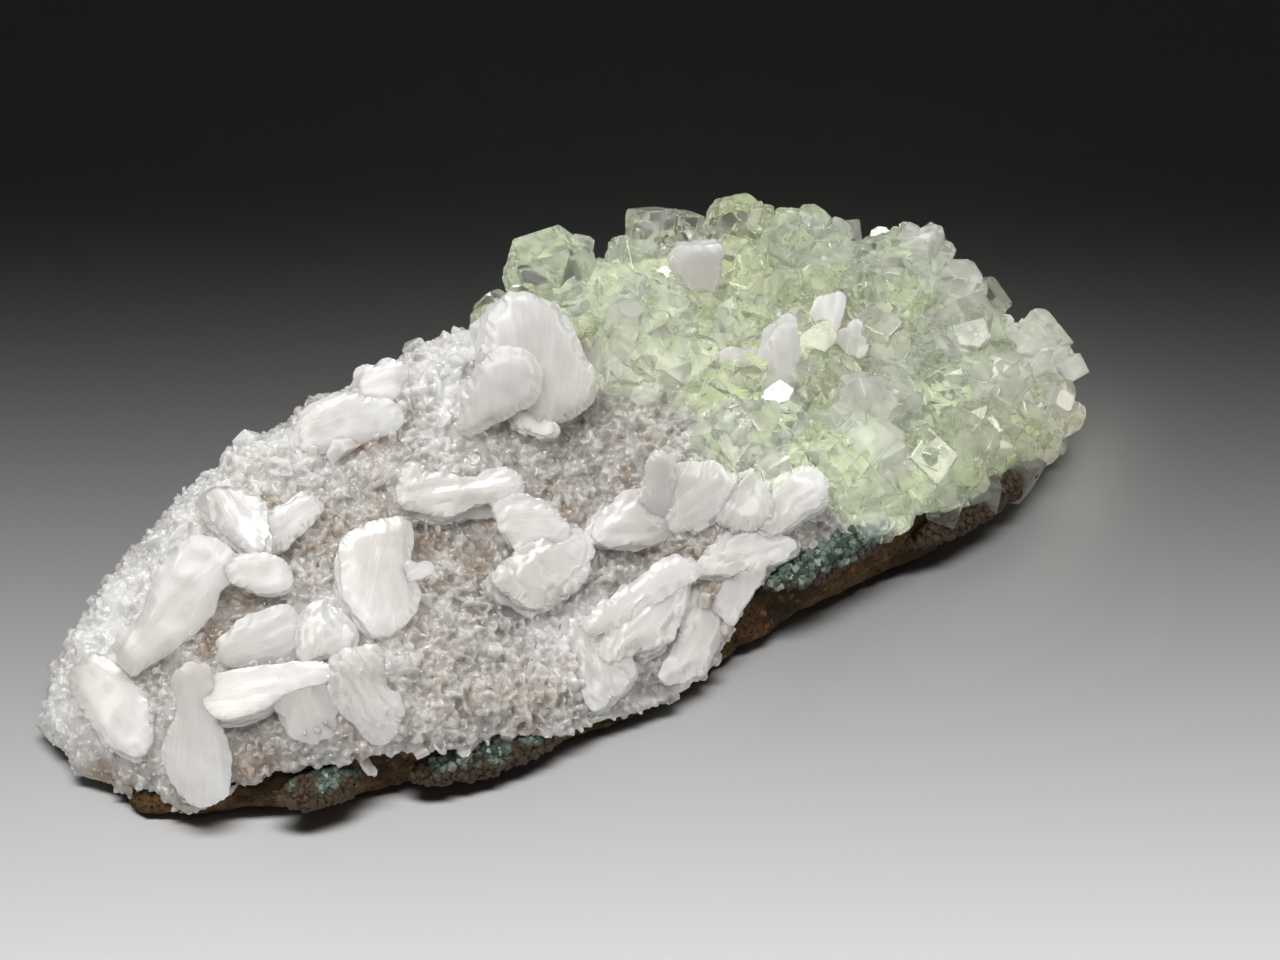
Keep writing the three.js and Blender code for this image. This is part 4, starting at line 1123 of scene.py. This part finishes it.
# Single plates that catch the light: six-sided, and turned to mirror the lamp behind.
gleam = unit(BACK + unit(BACK_LAMP))
for spot in spots(PLATES):
    turn = SIXTHS + rng.uniform(0, 1)
    wide = rng.uniform(0.8, 1.5)
    co, tris = hull(corners_at(zip(np.cos(turn), np.sin(turn)), wide, wide, -0.1, 0.8))
    parts.append(((co * MM) @ tilted(upright(gleam, rng), 4, rng).T + spot, tris, {}))
co, tris, _ = joined(parts)
rough = mesh_object("rough", co, tris)
points, faces, _ = skinned(rough.data, FINENESS, limit=MOST_TRIANGLES)
bpy.data.objects.remove(rough)
bpy.data.objects.remove(crust)
fields = {"green": green_share(points), "pink": near(points, pink, 5), "milky": near(points, milky, 8),
          "stain": near(points, stains, 4) * smoothstep(-0.4, 0.5, noise(points, 3, 61, 3))}
finished(mesh_object("druse_skin", points, faces, fields), DRUSE, ["druse_crust"])


# ---- celadonite ----

rng = np.random.default_rng(29)
crumbs = [block(rng) for _ in range(6)]
# How far up each patch the bare rock shows, as a share of the patch's height.
for name, bare in (("west", 0.75), ("middle", 0.6), ("notch", 0.35), ("east", 0.95)):
    node = NODES["celadonite_" + name]
    points, faces, _ = skinned(node.data, 0.6, 1)
    base = (points, faces, {"grain": np.full(len(points), 0.2)})
    where, up = samples(node.data, 700, rng)
    size = rng.uniform(0.5, 1.3, len(where)) * MM
    foot = where - up * (0.4 * size)[:, None]
    co, tris, extra = strewn(crumbs, foot, up, size, np.ones((len(where), 3)), 0.6, rng)
    co, tris, extra = joined([base, (co, tris, extra)])
    height = (co[:, 2] - co[:, 2].min()) / np.ptp(co[:, 2])
    extra["bare"] = 1 - smoothstep(bare, bare + 0.2, height + 0.3 * noise(co, 3, 71, 2))
    finished(mesh_object("rind_" + name, co, tris, extra), CELADONITE, ["celadonite_" + name])


# ---- stage, light and camera ----

def floor():
    shape = bmesh.new()
    bmesh.ops.create_grid(shape, x_segments=8, y_segments=8, size=3.0)
    mesh = bpy.data.meshes.new("floor")
    shape.to_mesh(mesh)
    shape.free()
    made = new_object("floor", mesh)
    look = Look("floor_look", Roughness=0.9, Specular_IOR_Level=0.2)
    look.set(Base_Color=look.ramp(look.noise(400, 2), (0.3, 0.60), (0.7, 0.63)))
    made.data.materials.append(look.material)
    made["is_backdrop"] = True
    return made


def softbox(name, at, size, watts, aim, spread, ground, lights_ground=False):
    """A rectangular lamp whose long side lies across the view. It lights the ground alone, or all but it."""
    light = bpy.data.lights.new(name, "AREA")
    light.shape, light.size, light.size_y, light.energy = "RECTANGLE", size[0], size[1], watts
    light.spread = math.radians(spread)
    if not lights_ground:
        light.color = (1.0, 0.99, 0.97)
    made = new_object(name, light)
    back = (Vector(at) - Vector(aim)).normalized()
    up = back.cross(Vector(ACROSS)).normalized()
    made.matrix_world = Matrix.LocRotScale(Vector(at), Matrix((up.cross(back), up, back)).transposed(), None)
    linked = bpy.data.collections.new(name + "_linked")
    linked.objects.link(ground)
    linked.collection_objects[0].light_linking.link_state = "INCLUDE" if lights_ground else "EXCLUDE"
    made.light_linking.receiver_collection = linked


def camera():
    lens = bpy.data.cameras.new("camera")
    lens.lens, lens.sensor_width, lens.sensor_fit = LENS, 36, "HORIZONTAL"
    lens.clip_start, lens.clip_end = 0.02, 20
    made = new_object("camera", lens)
    made.location = TARGET + BACK * DISTANCE
    made.rotation_euler = Vector(BACK).to_track_quat("Z", "Y").to_euler()
    bpy.context.scene.camera = made


ground = floor()
softbox("key", (-0.24, -0.02, 0.44), (0.28, 0.28), 1.3, (0, 0, 0.02), 150, ground)
softbox("top", (0.05, 0.05, 0.62), (1.0, 1.0), 1.1, (0, 0, 0), 160, ground)
softbox("front", (-0.20, -0.55, 0.30), (0.40, 0.25), 0.5, (0, 0, 0.01), 150, ground)
softbox("right", (0.40, -0.30, 0.30), (0.24, 0.24), 0.65, (0, 0, 0.01), 150, ground)
softbox("back", BACK_LAMP, (0.24, 0.16), 0.9, (0.01, 0, 0.02), 150, ground)
softbox("floor_light", (-0.13, -0.20, 0.50), (0.70, 0.08), 0.72, (-0.085, -0.12, 0), 44, ground, True)
camera()

scene = bpy.context.scene
world = bpy.data.worlds.new("studio")
world.use_nodes = True
world.node_tree.nodes["Background"].inputs["Color"].default_value = (0.5, 0.5, 0.51, 1)
world.node_tree.nodes["Background"].inputs["Strength"].default_value = 0.03
scene.world = world
scene.view_settings.view_transform = "Standard"
scene.cycles.use_denoising = True
scene.cycles.max_bounces = 16
scene.cycles.transmission_bounces = 14
scene.cycles.diffuse_bounces = 5
scene.cycles.glossy_bounces = 3

low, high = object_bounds()
